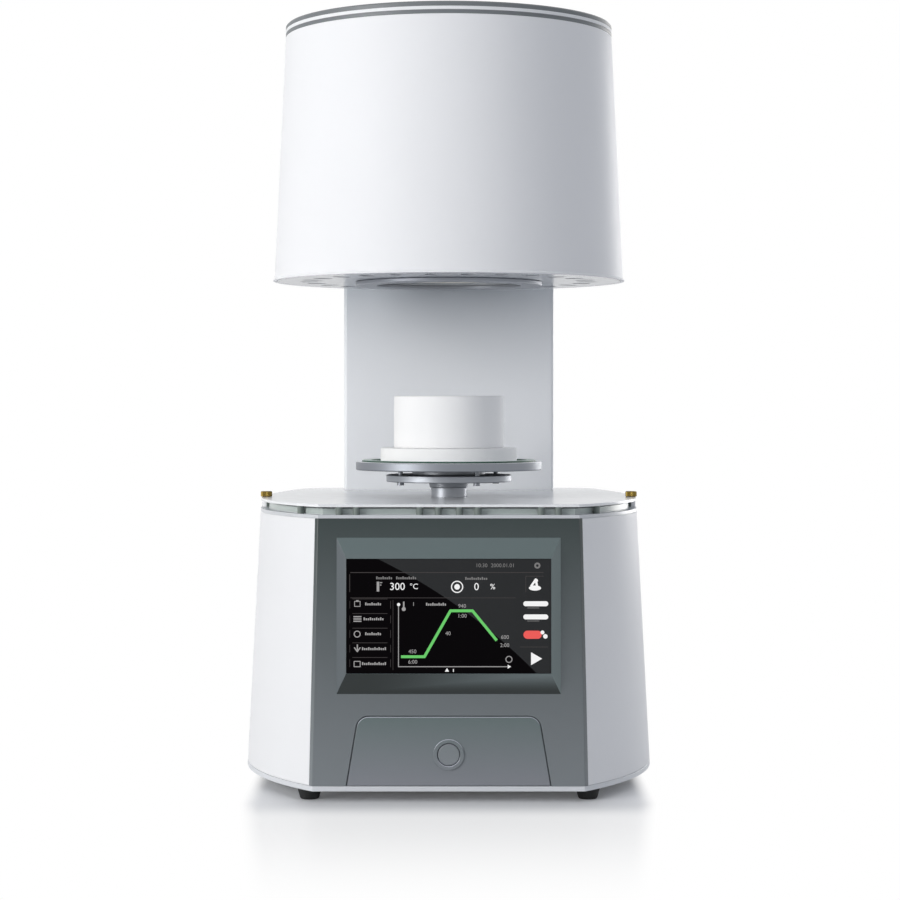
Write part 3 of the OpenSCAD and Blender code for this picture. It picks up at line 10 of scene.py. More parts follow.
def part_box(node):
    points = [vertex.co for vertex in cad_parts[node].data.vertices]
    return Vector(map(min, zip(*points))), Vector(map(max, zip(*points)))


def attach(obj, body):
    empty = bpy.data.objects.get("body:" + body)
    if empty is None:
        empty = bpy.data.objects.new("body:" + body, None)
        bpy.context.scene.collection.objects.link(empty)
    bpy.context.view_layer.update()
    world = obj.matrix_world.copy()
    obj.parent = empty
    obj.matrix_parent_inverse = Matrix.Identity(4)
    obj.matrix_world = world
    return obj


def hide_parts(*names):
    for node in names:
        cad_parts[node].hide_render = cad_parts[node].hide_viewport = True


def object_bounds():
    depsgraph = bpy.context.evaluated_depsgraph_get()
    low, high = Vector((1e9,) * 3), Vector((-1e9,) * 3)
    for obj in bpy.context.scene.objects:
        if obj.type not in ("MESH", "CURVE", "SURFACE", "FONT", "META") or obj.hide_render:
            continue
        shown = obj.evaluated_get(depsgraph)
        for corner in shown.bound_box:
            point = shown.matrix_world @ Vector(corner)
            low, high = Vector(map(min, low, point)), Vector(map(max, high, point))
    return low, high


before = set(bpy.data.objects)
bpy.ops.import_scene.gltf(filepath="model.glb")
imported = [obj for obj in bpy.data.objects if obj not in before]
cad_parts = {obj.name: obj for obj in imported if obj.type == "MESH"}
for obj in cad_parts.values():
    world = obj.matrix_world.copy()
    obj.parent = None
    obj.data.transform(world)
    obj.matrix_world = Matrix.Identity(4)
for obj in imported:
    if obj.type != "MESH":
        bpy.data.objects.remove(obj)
cad_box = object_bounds()

# Base pan and feet. The pan is folded sheet steel with a pale powder coat, and closes the base from
# below. Four tapered rubber feet stand under its floor.

mm = 0.001


def srgb(red, green, blue):
    """A colour as it is read off a screen, 0 to 255, as the linear values that a shader takes."""
    parts = [c / 255 for c in (red, green, blue)]
    return tuple(c / 12.92 if c <= 0.04045 else ((c + 0.055) / 1.055) ** 2.4 for c in parts) + (1.0,)


class Signal:
    """A node's output. Arithmetic on it adds Math nodes to the finish that it belongs to."""

    def __init__(self, finish, socket):
        self.finish = finish
        self.socket = socket

    def math(self, operation, *others):
        return self.finish.node("Math", {"operation": operation}, dict(enumerate((self, *others))))

    def __add__(self, other):
        return self.math("ADD", other)

    def __sub__(self, other):
        return self.math("SUBTRACT", other)

    def __rsub__(self, other):
        return self.finish.node("Math", {"operation": "SUBTRACT"}, {0: other, 1: self})

    def __mul__(self, other):
        return self.math("MULTIPLY", other)

    def __pow__(self, other):
        return self.math("POWER", other)

    __radd__ = __add__
    __rmul__ = __mul__

    def step(self, low, high, kind="SMOOTHSTEP"):
        """0 below low, 1 above high, and a rise between them."""
        return self.finish.node(
            "MapRange",
            {"interpolation_type": kind},
            {"Value": self, "From Min": low, "From Max": high},
        )


class Nodes:
    """A node tree, and the one way in which nodes are added to it."""

    def __init__(self, tree):
        self.tree = tree

    def node(self, kind, settings=None, inputs=None, output=None):
        """A node of a kind, with its settings and then the values or links of its sockets."""
        made = self.tree.nodes.new("ShaderNode" + kind)
        for key, value in (settings or {}).items():
            setattr(made, key, value)
        for key, value in (inputs or {}).items():
            self.feed(made.inputs[key], value)
        if output is None:
            output = next(s.name for s in made.outputs if s.enabled)
        return Signal(self, next(s for s in made.outputs if s.name == output and s.enabled))

    def feed(self, socket, value):
        """Links a signal to a socket, or sets the socket to a plain value."""
        if isinstance(value, Signal):
            self.tree.links.new(value.socket, socket)
        else:
            socket.default_value = value

    def blend(self, factor, first, second):
        """A colour between two colours."""
        return self.node("Mix", {"data_type": "RGBA"}, {0: factor, 6: first, 7: second})


class Finish(Nodes):
    """A procedural material: a principled shader, with nodes that vary it over a surface."""

    def __init__(self, name, **constants):
        self.material = bpy.data.materials.new(name)
        self.material.use_nodes = True
        super().__init__(self.material.node_tree)
        self.shader = self.tree.nodes["Principled BSDF"]
        for socket, value in constants.items():
            self.shader.inputs[socket.replace("_", " ")].default_value = value
        self.place = self.node("TexCoord", output="Object")

    def set(self, **sockets):
        for socket, value in sockets.items():
            self.feed(self.shader.inputs[socket.replace("_", " ")], value)
        return self

    def noise(self, per_metre, detail=2.0, stretch=(1, 1, 1)):
        """Smooth noise from 0 to 1, with so many bumps to the metre, and more along a stretched axis."""
        spread = self.node("VectorMath", {"operation": "MULTIPLY"}, {0: self.place, 1: stretch})
        return self.node("TexNoise", {}, {"Vector": spread, "Scale": per_metre, "Detail": detail})

    def axis(self, name):
        return self.node("SeparateXYZ", {}, {"Vector": self.place}, output=name)

    def facing(self, name):
        """How far the surface turns towards an axis, from -1 to 1."""
        turned_to = self.node("TexCoord", output="Normal")
        return self.node("SeparateXYZ", {}, {"Vector": turned_to}, output=name)

    def bump(self, height, depth):
        """Relief of so many metres between a height of 0 and 1."""
        inputs = {"Strength": 1.0, "Distance": depth, "Height": height}
        relief = self.node("Bump", {}, inputs, output="Normal")
        return self.set(Normal=relief)


def shade(colour, by):
    """A colour with its three values multiplied."""
    return tuple(by * c for c in colour[:3]) + (1.0,)


def powder_coat(name, colour, roughness, peel_depth=0.03 * mm, specular=0.45):
    """Baked powder coat: faint drift of shade, and orange peel a millimetre across."""
    finish = Finish(name, Specular_IOR_Level=specular)
    drift = finish.noise(7, 3)
    peel = finish.noise(700, 3)
    finish.set(Base_Color=finish.blend(drift, shade(colour, 0.955), colour))
    finish.set(Roughness=finish.noise(90, 3) * 0.08 + (roughness - 0.04))
    return finish.bump(peel, peel_depth)


def moulded(name, colour, roughness):
    """Moulded plastic or rubber with the fine spark texture of its tool."""
    finish = Finish(name, Specular_IOR_Level=0.4)
    grain = finish.noise(2600, 2)
    finish.set(Base_Color=finish.blend(finish.noise(30, 3), shade(colour, 0.9), colour))
    finish.set(Roughness=grain * 0.16 + (roughness - 0.08))
    return finish.bump(grain, 0.05 * mm)


crease_turn = math.radians(32)


def place_piece(form, name, body, finish, nodes=()):
    """Makes a piece of a bmesh, shades it smooth between its creases, gives it its finish, joins it to its
    body and hides the nodes that it stands for."""
    for face in form.faces:
        face.smooth = True
    for edge in form.edges:
        if edge.calc_face_angle(0.0) > crease_turn:
            edge.smooth = False
    mesh = bpy.data.meshes.new(name)
    form.to_mesh(mesh)
    form.free()
    mesh.materials.append(finish.material)
    piece = bpy.data.objects.new(name, mesh)
    bpy.context.scene.collection.objects.link(piece)
    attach(piece, body)
    if nodes:
        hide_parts(*nodes)


sharp_turn = math.radians(25)


def round_edges(form, width):
    """Rounds every sharp edge. The flat faces beside it keep their own shading."""
    edges = [e for e in form.edges if len(e.link_faces) == 2 and e.calc_face_angle() > sharp_turn]
    bevelled = bmesh.ops.bevel(
        form,
        geom=edges,
        offset=width,
        offset_type="OFFSET",
        segments=2,
        profile=0.5,
        affect="EDGES",
        clamp_overlap=True,
        material=-1,
    )["faces"]
    rounded = set(bevelled)
    for edge in {e for face in rounded for e in face.edges}:
        if not rounded.issuperset(edge.link_faces):
            edge.smooth = False


seam_gap = 0.002 * mm
flat_turn = math.radians(0.2)


def softened(node, body, finish, width, join_flat=False):
    """A merged copy of a CAD node with its edges rounded, which stands for the node. Joining the triangles
    of each flat face leaves room for wider edges."""
    form = bmesh.new()
    form.from_mesh(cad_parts[node].data)
    bmesh.ops.remove_doubles(form, verts=form.verts, dist=seam_gap)
    if join_flat:
        bmesh.ops.dissolve_limit(
            form,
            angle_limit=flat_turn,
            use_dissolve_boundaries=False,
            verts=form.verts,
            edges=form.edges,
        )
    if width:
        round_edges(form, width)
    place_piece(form, node + "_form", body, finish, [node])


pan_coat = powder_coat("pan_coat", srgb(214, 217, 221), 0.45)
foot_rubber = moulded("foot_rubber", srgb(24, 24, 25), 0.7)
softened("base_pan", "furnace", pan_coat, 0.5 * mm)
softened("rubber_feet", "furnace", foot_rubber, 0.4 * mm)

# Base shell. The white body is one bent and welded sheet-steel shell with curved, leaning sides, powder
# coated in satin white. It stands on the pan and carries the front panel.

white_coat = powder_coat("white_coat", srgb(237, 238, 240), 0.42, specular=0.05)
softened("base_shell", "furnace", white_coat, 0.9 * mm)

# Front panel. A grey-green lacquered plate fills the flat front. It has a window for the screen, and a
# recess for the lower insert with its start button.

black = (0, 0, 0, 1)


def lacquer_with_painted_shading(name, node, foot_colour, shaded_top_colour, edge=1.0):
    """Satin lacquer with fine metal flake, and painted shade: it changes from one colour at the foot of a
    node to a darker one at its top. Edges that look up show the foot colour times a share of their own, a
    painted highlight where the share is above 1 and painted shade where it is below."""
    low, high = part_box(node)
    finish = Finish(name, Specular_IOR_Level=0.4, Coat_Weight=0.1, Coat_Roughness=0.25)
    flake = finish.noise(5200, 1)
    drift = finish.noise(6, 3)
    height = finish.axis("Z").step(low.z, high.z, "LINEAR")
    looks_up = finish.facing("Z").step(0.15, 0.3)
    # Painted shade: darker towards the top of the node.
    colour = finish.blend(height, foot_colour, shaded_top_colour)
    # Painted highlight on edges that look up where edge is above 1, painted shade where it is below.
    colour = finish.blend(looks_up, colour, shade(foot_colour, edge))
    finish.set(Base_Color=finish.blend((drift + flake) * 0.07, colour, black))
    finish.set(Roughness=finish.noise(1500, 2) * 0.1 + 0.31)
    return finish.bump(finish.noise(900, 3), 0.02 * mm)


def bezel_lacquer_painted_shading():
    """The bezel's four slopes, in lacquer with flake. Each slope is painted its own tone for the light that
    falls
    on it: painted shade makes the one that faces down darkest, the left one is darker than the right one,
    and the one that faces up lies between.
    """
    finish = Finish("bezel_lacquer_painted_shading", Specular_IOR_Level=0.4, Coat_Weight=0.1, Coat_Roughness=0.25)
    rise = finish.facing("Z")
    flake = finish.noise(5200, 1)
    looks_right = finish.facing("X").step(-0.1, 0.1)
    looks_level = rise.step(-0.3, -0.08)
    looks_up = rise.step(0.08, 0.3)
    colour = finish.blend(looks_right, srgb(84, 92, 97), srgb(119, 132, 132))
    colour = finish.blend(looks_level, srgb(32, 40, 40), colour)
    colour = finish.blend(looks_up, colour, srgb(96, 110, 111))
    finish.set(Base_Color=finish.blend(flake * 0.12, colour, black))
    finish.set(Roughness=finish.noise(1500, 2) * 0.1 + 0.3)
    return finish.bump(finish.noise(900, 3), 0.02 * mm)


# Panel and insert: painted shade darkens them towards the top. The panel's top edges get painted shade, and
# the insert's upper edges get a painted highlight.
panel_lacquer_painted_shade = lacquer_with_painted_shading("panel_lacquer_painted_shade", "front_panel", srgb(125, 131, 135), srgb(46, 58, 58), 0.3)
insert_lacquer_painted_shading = lacquer_with_painted_shading("insert_lacquer_painted_shading", "lower_panel", srgb(133, 136, 143), srgb(100, 114, 114), 2.4)
softened("front_panel", "furnace", panel_lacquer_painted_shade, 0.5 * mm, join_flat=True)
softened("screen_bezel", "furnace", bezel_lacquer_painted_shading(), 0.2 * mm)
softened("lower_panel", "furnace", insert_lacquer_painted_shading, 0.6 * mm, join_flat=True)

# Touch screen. Black glass is bonded over the display. The display shows a header line, two readings, a
# column of keys, the firing curve in green and a column of larger keys.

front_lean = math.radians(2.23)
glass_t = 2 * mm
glass_low, glass_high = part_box("touch_screen")
glass_half_w = (glass_high.x - glass_low.x) / 2
glass_half_h = (glass_high.z - glass_low.z - glass_t * math.sin(front_lean)) / 2 / math.cos(front_lean)
glass_middle = Vector(
    (
        0,
        glass_low.y + glass_half_h * math.sin(front_lean),
        (glass_low.z + glass_high.z + glass_t * math.sin(front_lean)) / 2,
    )
)
on_glass = (
    Matrix.Translation(glass_middle)
    @ Matrix.Rotation(math.pi / 2 - front_lean, 4, "X")
    @ Matrix.Translation((-glass_half_w, glass_half_h, 0))
)
mark_t = 0.04 * mm


def display_glass():
    """Black glass. A large arc, centred left of the glass and below its top, parts the darker lower left
    from the grey upper right, a painted reflection of the studio."""
    finish = Finish("display_glass", Specular_IOR_Level=0.03)
    arc_r, arc_left, arc_below = 435.9 * mm, 167.2 * mm, 391.8 * mm
    arc_blur = 0.25 * mm
    across = finish.axis("X") + (glass_half_w + arc_left)
    down = (glass_middle.z + glass_half_h - arc_below) - finish.axis("Z")
    distance = (across**2.0 + down**2.0) ** 0.5
    # Painted reflection: beyond the arc the glass is grey.
    painted_reflection = distance.step(arc_r - arc_blur, arc_r + arc_blur)
    dust = finish.noise(240, 4)
    finish.set(Base_Color=finish.blend(painted_reflection, srgb(4, 2, 4), srgb(50, 51, 52)))
    finish.set(Roughness=dust * 0.08 + 0.08)
    return finish


softened("touch_screen", "furnace", display_glass(), 0.2 * mm)


def lit(name, colour, strength=0.9):
    """Colour of a lit mark on the display."""
    finish = Finish(name, Roughness=0.4, Emission_Strength=strength, Specular_IOR_Level=0.1)
    glow = finish.blend(finish.noise(4000, 1), shade(colour, 0.9), colour)
    finish.set(Base_Color=shade(colour, 0.05), Emission_Color=glow)
    return finish


round_sides = 28
text_size_of_height = 1.4


class Marks:
    """Flat marks of one colour, in millimetres from the upper left corner of the glass."""

    def __init__(self):
        self.form = bmesh.new()

    def bar(self, left, top, right, bottom, turn=0.0):
        middle = Matrix.Translation(((left + right) / 2, -(top + bottom) / 2, 0))
        size = Matrix.Diagonal((right - left, bottom - top, 1, 1))
        bmesh.ops.create_grid(
            self.form,
            x_segments=1,
            y_segments=1,
            size=0.5,
            matrix=middle @ Matrix.Rotation(turn, 4, "Z") @ size,
        )

    def disc(self, x, y, radius, sides=round_sides, turn=0.0, flat=1.0):
        spot = Matrix.Translation((x, -y, 0)) @ Matrix.Rotation(turn, 4, "Z")
        bmesh.ops.create_circle(
            self.form,
            cap_ends=True,
            segments=sides,
            radius=radius,
            matrix=spot @ Matrix.Diagonal((1, flat, 1, 1)),
        )

    def hoop(self, x, y, radius, width):
        spot = Matrix.Translation((x, -y, 0))
        corners = []
        for rim_r in (radius, radius - width):
            rim = bmesh.ops.create_circle(self.form, segments=round_sides, radius=rim_r, matrix=spot)
            corners += rim["verts"]
        rims = list({e for v in corners for e in v.link_edges})
        bmesh.ops.bridge_loops(self.form, edges=rims)

    def pill(self, left, y, right, radius):
        made = bmesh.ops.create_circle(
            self.form,
            cap_ends=True,
            segments=round_sides,
            radius=radius,
            matrix=Matrix.Translation((left + radius, -y, 0)),
        )["verts"]
        far_side = [v for v in made if v.co.x > left + radius]
        bmesh.ops.translate(self.form, verts=far_side, vec=(right - left - 2 * radius, 0, 0))

    def line(self, points, width):
        for (x0, y0), (x1, y1) in zip(points, points[1:]):
            length = math.hypot(x1 - x0, y1 - y0)
            middle = ((x0 + x1) / 2, (y0 + y1) / 2)
            self.bar(
                middle[0] - length / 2,
                middle[1] - width / 2,
                middle[0] + length / 2,
                middle[1] + width / 2,
                -math.atan2(y1 - y0, x1 - x0),
            )
        for x, y in points[1:-1]:
            self.disc(x, y, width / 2)

    def frame(self, left, top, right, bottom, width):
        corners = [(left, top), (right, top), (right, bottom), (left, bottom), (left, top)]
        self.line(corners, width)

    def entry(self, left, y, length):
        """A row of small upright marks, as long as an entry of the display."""
        shares = (1.0, 0.7, 0.7, 1.0, 0.72, 0.68, 0.95, 0.7)
        tallest, pitch, width = 2.1, 1.55, 1.05
        foot = y + 1.0
        for k in range(int(length / pitch)):
            start = left + pitch * k
            self.bar(start, foot - tallest * shares[k % len(shares)], start + width, foot)

    def number(self, figures, x, y, height):
        """Plain figures centred on a point."""
        outline = bpy.data.curves.new("figures", "FONT")
        outline.body = figures
        outline.size = height * text_size_of_height
        outline.align_x = "CENTER"
        outline.align_y = "CENTER"
        outline.resolution_u = 3
        holder = bpy.data.objects.new("figures", outline)
        bpy.context.scene.collection.objects.link(holder)
        bpy.context.view_layer.update()
        flat = bpy.data.meshes.new_from_object(holder)
        flat.transform(Matrix.Translation((x, -y, 0)))
        self.form.from_mesh(flat)
        bpy.data.objects.remove(holder)
        bpy.data.curves.remove(outline)
        bpy.data.meshes.remove(flat)

    def print_on_glass(self, name, finish):
        """Gives the marks their thickness and lays them on the glass."""
        bmesh.ops.recalc_face_normals(self.form, faces=self.form.faces)
        for face in self.form.faces:
            if face.normal.z < 0:
                face.normal_flip()
        lifted = bmesh.ops.extrude_face_region(self.form, geom=self.form.faces[:])["geom"]
        raised = [g for g in lifted if isinstance(g, bmesh.types.BMVert)]
        bmesh.ops.translate(self.form, verts=raised, vec=(0, 0, mark_t / mm))
        bmesh.ops.recalc_face_normals(self.form, faces=self.form.faces)
        bmesh.ops.transform(
            self.form,
            verts=self.form.verts,
            matrix=on_glass @ Matrix.Diagonal((mm, mm, mm, 1)),
        )
        place_piece(self.form, name, "furnace", finish)


key_count = 5
key_pitch, entry_pitch = 11.0, 11.2
small_figure, unit_figure, large_figure = 2.9, 4.2, 5.6

rules = Marks()
rules.bar(3.0, 9.9, 148.4, 10.4)
rules.bar(3.0, 29.0, 127.5, 29.4)
rules.bar(2.3, 11.4, 2.8, 24.8)
for key in range(key_count):
    key_top = 29.8 + key_pitch * key
    rules.bar(4.6, key_top, 31.0, key_top + 0.35)
    rules.bar(2.5, key_top + 1.6, 2.8, key_top + 7.4)
    rules.bar(33.2, key_top + 1.6, 33.5, key_top + 7.4)
rules.bar(35.0, 30.8, 35.3, 83.5)
rules.bar(134.9, 12.8, 135.3, 24.8)
rules.bar(134.9, 12.7, 148.4, 13.1)
rules.bar(130.6, 65.9, 151.8, 66.3)
rules.print_on_glass("display_rules", lit("rule_grey", srgb(70, 66, 66)))

faint = Marks()
faint.number("10:30", 101.8, 4.9, small_figure)
faint.number("2000.01.01", 117.8, 4.9, small_figure)
faint.hoop(143.8, 4.9, 2.3, 1.3)
faint.entry(22.5, 14.2, 13.5)
faint.entry(37.5, 14.2, 15.5)
faint.entry(89.5, 14.6, 17.5)
faint.bar(136.2, 36.5, 145.2, 37.0)
faint.bar(136.2, 46.3, 145.2, 46.8)
faint.print_on_glass("display_small_marks", lit("mark_grey", srgb(128, 127, 127)))

labels = Marks()
key_entries = [(14.2, 13.9), (13.0, 15.8), (14.2, 13.9), (11.8, 18.8), (11.8, 18.8)]
for key, (start, length) in enumerate(key_entries):
    labels.entry(start, 33.8 + entry_pitch * key, length)
labels.frame(6.2, 31.8, 10.4, 35.6, 0.5)
labels.bar(7.4, 30.9, 9.2, 32.2)
for row in range(3):
    labels.bar(5.4, 42.9 + 1.7 * row, 11.4, 43.8 + 1.7 * row)
labels.hoop(8.2, 56.4, 2.6, 0.7)
labels.line([(6.0, 66.4), (8.3, 69.6), (10.6, 66.4)], 0.8)
labels.bar(7.9, 64.2, 8.8, 68.6)
labels.frame(5.9, 76.9, 10.5, 80.9, 0.6)
labels.bar(39.0, 35.0, 39.6, 81.2)
labels.bar(39.0, 80.6, 122.4, 81.2)
labels.bar(22.9, 17.0, 24.8, 24.4)
labels.bar(25.2, 17.4, 27.0, 18.1)
labels.bar(25.2, 19.2, 26.4, 19.9)
labels.bar(42.7, 32.0, 43.8, 37.4)
labels.disc(43.25, 37.6, 1.5)
labels.number("1", 50.6, 34.0, 2.8)
labels.entry(60.0, 34.0, 15.5)
for figures, x, y in (
    ("450", 49.8, 69.6),
    ("6:00", 50.0, 77.4),
    ("40", 76.6, 56.0),
    ("940", 87.2, 35.4),
    ("1:00", 87.2, 42.8),
    ("600", 119.4, 58.8),
    ("2:00", 119.2, 64.9),
):
    labels.number(figures, x, y, small_figure)
labels.hoop(122.4, 75.4, 2.6, 0.6)
labels.print_on_glass("display_labels", lit("label_grey", srgb(168, 166, 166)))

bright = Marks()
point_right = -math.pi / 2
bright.number("300", 38.4, 20.9, large_figure)
bright.number("\u00b0C", 50.9, 20.8, unit_figure)
bright.hoop(83.4, 20.9, 4.6, 0.8)
bright.disc(83.4, 20.9, 2.1)
bright.number("0", 98.0, 21.0, large_figure)
bright.number("%", 110.2, 20.9, unit_figure)
bright.disc(39.4, 34.2, 1.2)
bright.disc(122.3, 80.9, 1.7, 3, point_right)
bright.disc(75.8, 83.7, 1.8, 3)
bright.bar(80.3, 82.6, 80.9, 84.8)
bright.disc(142.0, 21.8, 4.6, flat=0.42)
bright.line([(139.0, 20.6), (142.6, 15.4), (143.6, 20.6)], 1.7)
bright.disc(143.0, 16.2, 1.3)
bright.pill(133.2, 33.6, 152.0, 1.9)
bright.pill(133.2, 43.5, 152.0, 1.9)
bright.disc(147.6, 55.2, 1.5)
bright.disc(149.8, 58.1, 1.7)
bright.disc(141.8, 74.9, 5.6, 3, point_right)
bright.print_on_glass("display_signs", lit("sign_white", srgb(244, 244, 244), 1.0))

curve = Marks()
curve_points = [(41.2, 73.4), (58.8, 73.4), (78.4, 38.9), (95.0, 38.9), (113.2, 61.2)]
curve.line(curve_points, 2.1)
curve.print_on_glass("display_curve", lit("curve_green", srgb(106, 202, 106), 1.0))

alarm = Marks()
alarm.pill(133.3, 56.9, 147.0, 3.1)
alarm.print_on_glass("display_alarm_key", lit("alarm_red", srgb(236, 92, 88), 1.0))

# Start button. A round cap with a ring sits in the lower insert. Both are lacquered like the insert, and
# a spring returns the cap.

softened("button_ring", "furnace", insert_lacquer_painted_shading, 0.4 * mm, join_flat=True)
# The cap's lacquer is painted darker towards the insert's top, as shade.
cap_lacquer_painted_shade = lacquer_with_painted_shading("cap_lacquer_painted_shade", "lower_panel", srgb(138, 141, 148), srgb(118, 129, 129))
softened("power_button", "start_button", cap_lacquer_painted_shade, 0.4 * mm, join_flat=True)

# Top of the base. A coated plate with a curb closes the base, small pillars carry the white deck over an
# air gap, and two knurled brass screws hold the deck down.

ledge_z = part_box("deck_spacers")[0].z
ledge_grey = srgb(200, 203, 207)
frame_coat = powder_coat("frame_coat", ledge_grey, 0.3, 0.01 * mm)
curb = frame_coat.axis("Z").step(ledge_z + 0.2 * mm, ledge_z + 0.4 * mm)
frame_coat.set(Base_Color=frame_coat.blend(curb, ledge_grey, srgb(182, 192, 189)))
softened("top_frame", "furnace", frame_coat, 0.3 * mm)


def spacer_nylon():
    """Moulded nylon: white below the thumb screws, and grey in the pillars along the edge."""
    white = srgb(232, 233, 235)
    end_x, blur = 149 * mm, 0.2 * mm
    finish = moulded("spacer_nylon", white, 0.5)
    at_end = finish.axis("X").math("ABSOLUTE").step(end_x - blur, end_x + blur)
    finish.set(Base_Color=finish.blend(at_end, srgb(112, 121, 117), white))
    return finish


softened("deck_spacers", "furnace", spacer_nylon(), 0.3 * mm)
deck_coat = powder_coat("deck_coat", srgb(236, 238, 240), 0.2, 0.006 * mm)
softened("deck_plate", "furnace", deck_coat, 0.4 * mm)

lift = (Vector(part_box("tray_plate")[0]) + Vector(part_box("tray_plate")[1])) / 2
lift.z = 0


def turned_metal(name, colour, roughness, rings_per_metre=2600):
    """Bare metal from the lathe: rings round the lift axis on its faces, and fine lines on its rims."""
    finish = Finish(name, Metallic=1.0)
    across = finish.axis("X") - lift.x
    along = finish.axis("Y") - lift.y
    radius = (across**2.0 + along**2.0) ** 0.5
    cut = finish.node("CombineXYZ", {}, {"X": radius, "Y": 0.0, "Z": finish.axis("Z")})
    rings = finish.node("TexNoise", {}, {"Vector": cut, "Scale": rings_per_metre, "Detail": 3.0})
    handling = finish.noise(14, 3)
    finish.set(Base_Color=finish.blend(rings, shade(colour, 0.8), shade(colour, 1.05)))
    finish.set(Roughness=rings * 0.14 + handling * 0.1 + (roughness - 0.12))
    return finish.bump(rings, 0.01 * mm)


brass = turned_metal("knurled_brass", srgb(134, 114, 58), 0.42, 1800)
screw_low, screw_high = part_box("brass_screws")
deck_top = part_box("deck_plate")[1].z
screw_head_r = 4.65 * mm
screw_shank_r = 1.5 * mm
screw_chamfer = 0.5 * mm
crown_inset, crown_depth = 0.9 * mm, 0.25 * mm
knurl_teeth = 30
knurl_depth = 0.3 * mm
knurl_reach = 0.1 * mm
rim_turn = 1.0
screw_x = screw_high.x - screw_head_r
screw_y = (screw_low.y + screw_high.y) / 2
knurled = bmesh.new()
for side in (-1, 1):
    seat = Matrix.Translation((side * screw_x, screw_y, (deck_top + screw_high.z) / 2))
    head = bmesh.ops.create_cone(
        knurled,
        cap_ends=True,
        segments=2 * knurl_teeth,
        radius1=screw_head_r,
        radius2=screw_head_r,
        depth=screw_high.z - deck_top,
        matrix=seat,
    )["verts"]
    edges = {e for v in head for e in v.link_edges if len(e.link_faces) == 2}
    bmesh.ops.bevel(
        knurled,
        geom=[e for e in edges if e.calc_face_angle() > rim_turn],
        offset=screw_chamfer,
        segments=1,
        profile=0.5,
        affect="EDGES",
        material=-1,
    )
for vertex in knurled.verts:
    away = Vector((vertex.co.x - math.copysign(screw_x, vertex.co.x), vertex.co.y - screw_y))
    turn = math.atan2(away.y, away.x) / math.tau * 2 * knurl_teeth
    if away.length > screw_head_r - knurl_reach and round(turn) % 2:
        away *= knurl_depth / away.length
        vertex.co.x -= away.x
        vertex.co.y -= away.y
bmesh.ops.inset_individual(
    knurled,
    faces=[f for f in knurled.faces if len(f.verts) > 8 and f.normal.z > 0.9],
    thickness=crown_inset,
    depth=-crown_depth,
)
for side in (-1, 1):
    bmesh.ops.create_cone(
        knurled,
        cap_ends=True,
        segments=20,
        radius1=screw_shank_r,
        radius2=screw_shank_r,
        depth=deck_top - screw_low.z,
        matrix=Matrix.Translation((side * screw_x, screw_y, (deck_top + screw_low.z) / 2)),
    )
place_piece(knurled, "knurled_screws", "furnace", brass, ["brass_screws"])

# Screw lift. Two ground rods between two plates guide the carriage, and a lead screw, which a motor turns
# by a belt, raises it. It all sits inside the base, and only the bronze bush and the shaft show.


def dress(node, finish):
    """Gives a CAD node its finish."""
    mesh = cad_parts[node].data
    mesh.materials.clear()
    mesh.materials.append(finish.material)


def anodised(name, colour, roughness=0.35):
    """Anodised or blasted metal, even and matt."""
    finish = Finish(name, Metallic=1.0)
    grain = finish.noise(3800, 2)
    finish.set(Base_Color=finish.blend(grain, shade(colour, 0.88), colour))
    finish.set(Roughness=grain * 0.14 + (roughness - 0.07))
    return finish.bump(grain, 0.02 * mm)


def drawn_metal(name, colour, roughness, grain=(1, 1, 30)):
    """Bare metal with straight draw lines, finer along one axis."""
    finish = Finish(name, Metallic=1.0)
    lines = finish.noise(220, 3, grain)
    finish.set(Base_Color=finish.blend(lines, shade(colour, 0.85), colour))
    finish.set(Roughness=lines * 0.16 + (roughness - 0.08))
    return finish.bump(lines, 0.01 * mm)


bronze = turned_metal("sintered_bronze", srgb(150, 118, 74), 0.4)
plate_metal = drawn_metal("lift_plate_metal", srgb(178, 181, 184), 0.38)
ground_metal = drawn_metal("ground_metal", srgb(172, 176, 183), 0.48, (1, 1, 40))
pulley_metal = anodised("pulley_metal", srgb(170, 174, 178))
dress("shaft_bush", bronze)
dress("lift_base", plate_metal)
dress("lift_top", plate_metal)
dress("lift_carriage", plate_metal)
dress("guide_rods", ground_metal)
dress("guide_bushes", bronze)
dress("lift_nut", bronze)
dress("screw_pulley", pulley_metal)
dress("motor_pulley", pulley_metal)
dress("lift_motor", powder_coat("motor_coat", srgb(52, 54, 57), 0.5))
dress("drive_belt", moulded("belt_rubber", srgb(28, 28, 29), 0.75))


def threaded(name, colour, pitch):
    """Rolled screw thread: a bump that runs along the screw once for each pitch, with painted shade in its
    grooves.
    """
    finish = Finish(name, Metallic=1.0)
    phase = finish.axis("Z") * (math.tau / pitch)
    ridge = phase.math("SINE") * 0.5 + 0.5
    # Painted shade: the thread's grooves are darker.
    finish.set(Base_Color=finish.blend(ridge, shade(colour, 0.6), colour))
    finish.set(Roughness=finish.noise(300, 2) * 0.15 + 0.22)
    return finish.bump(ridge, 0.6 * mm)


dress("lead_screw", threaded("screw_thread", srgb(150, 152, 156), 3 * mm))


def turned(profile):
    """A bmesh turned about the lift axis from a line of (radius, height) points. The line closes on
    itself, unless it starts and ends on the axis."""
    form = bmesh.new()
    corners = [form.verts.new((lift.x + radius, lift.y, height)) for radius, height in profile]
    edges = [form.edges.new(pair) for pair in zip(corners, corners[1:])]
    if profile[0][0] > 0:
        edges.append(form.edges.new((corners[-1], corners[0])))
    bmesh.ops.spin(
        form,
        geom=corners + edges,
        cent=lift,
        axis=(0, 0, 1),
        angle=math.tau,
        steps=192,
        use_merge=True,
    )
    bmesh.ops.remove_doubles(form, verts=form.verts, dist=0.001 * mm)
    bmesh.ops.recalc_face_normals(form, faces=form.faces)
    return form


def turned_ring(inner, outer, low, high):
    """A plain turned ring, or a disc where its inner radius is 0."""
    return turned([(inner, low), (outer, low), (outer, high), (inner, high)])


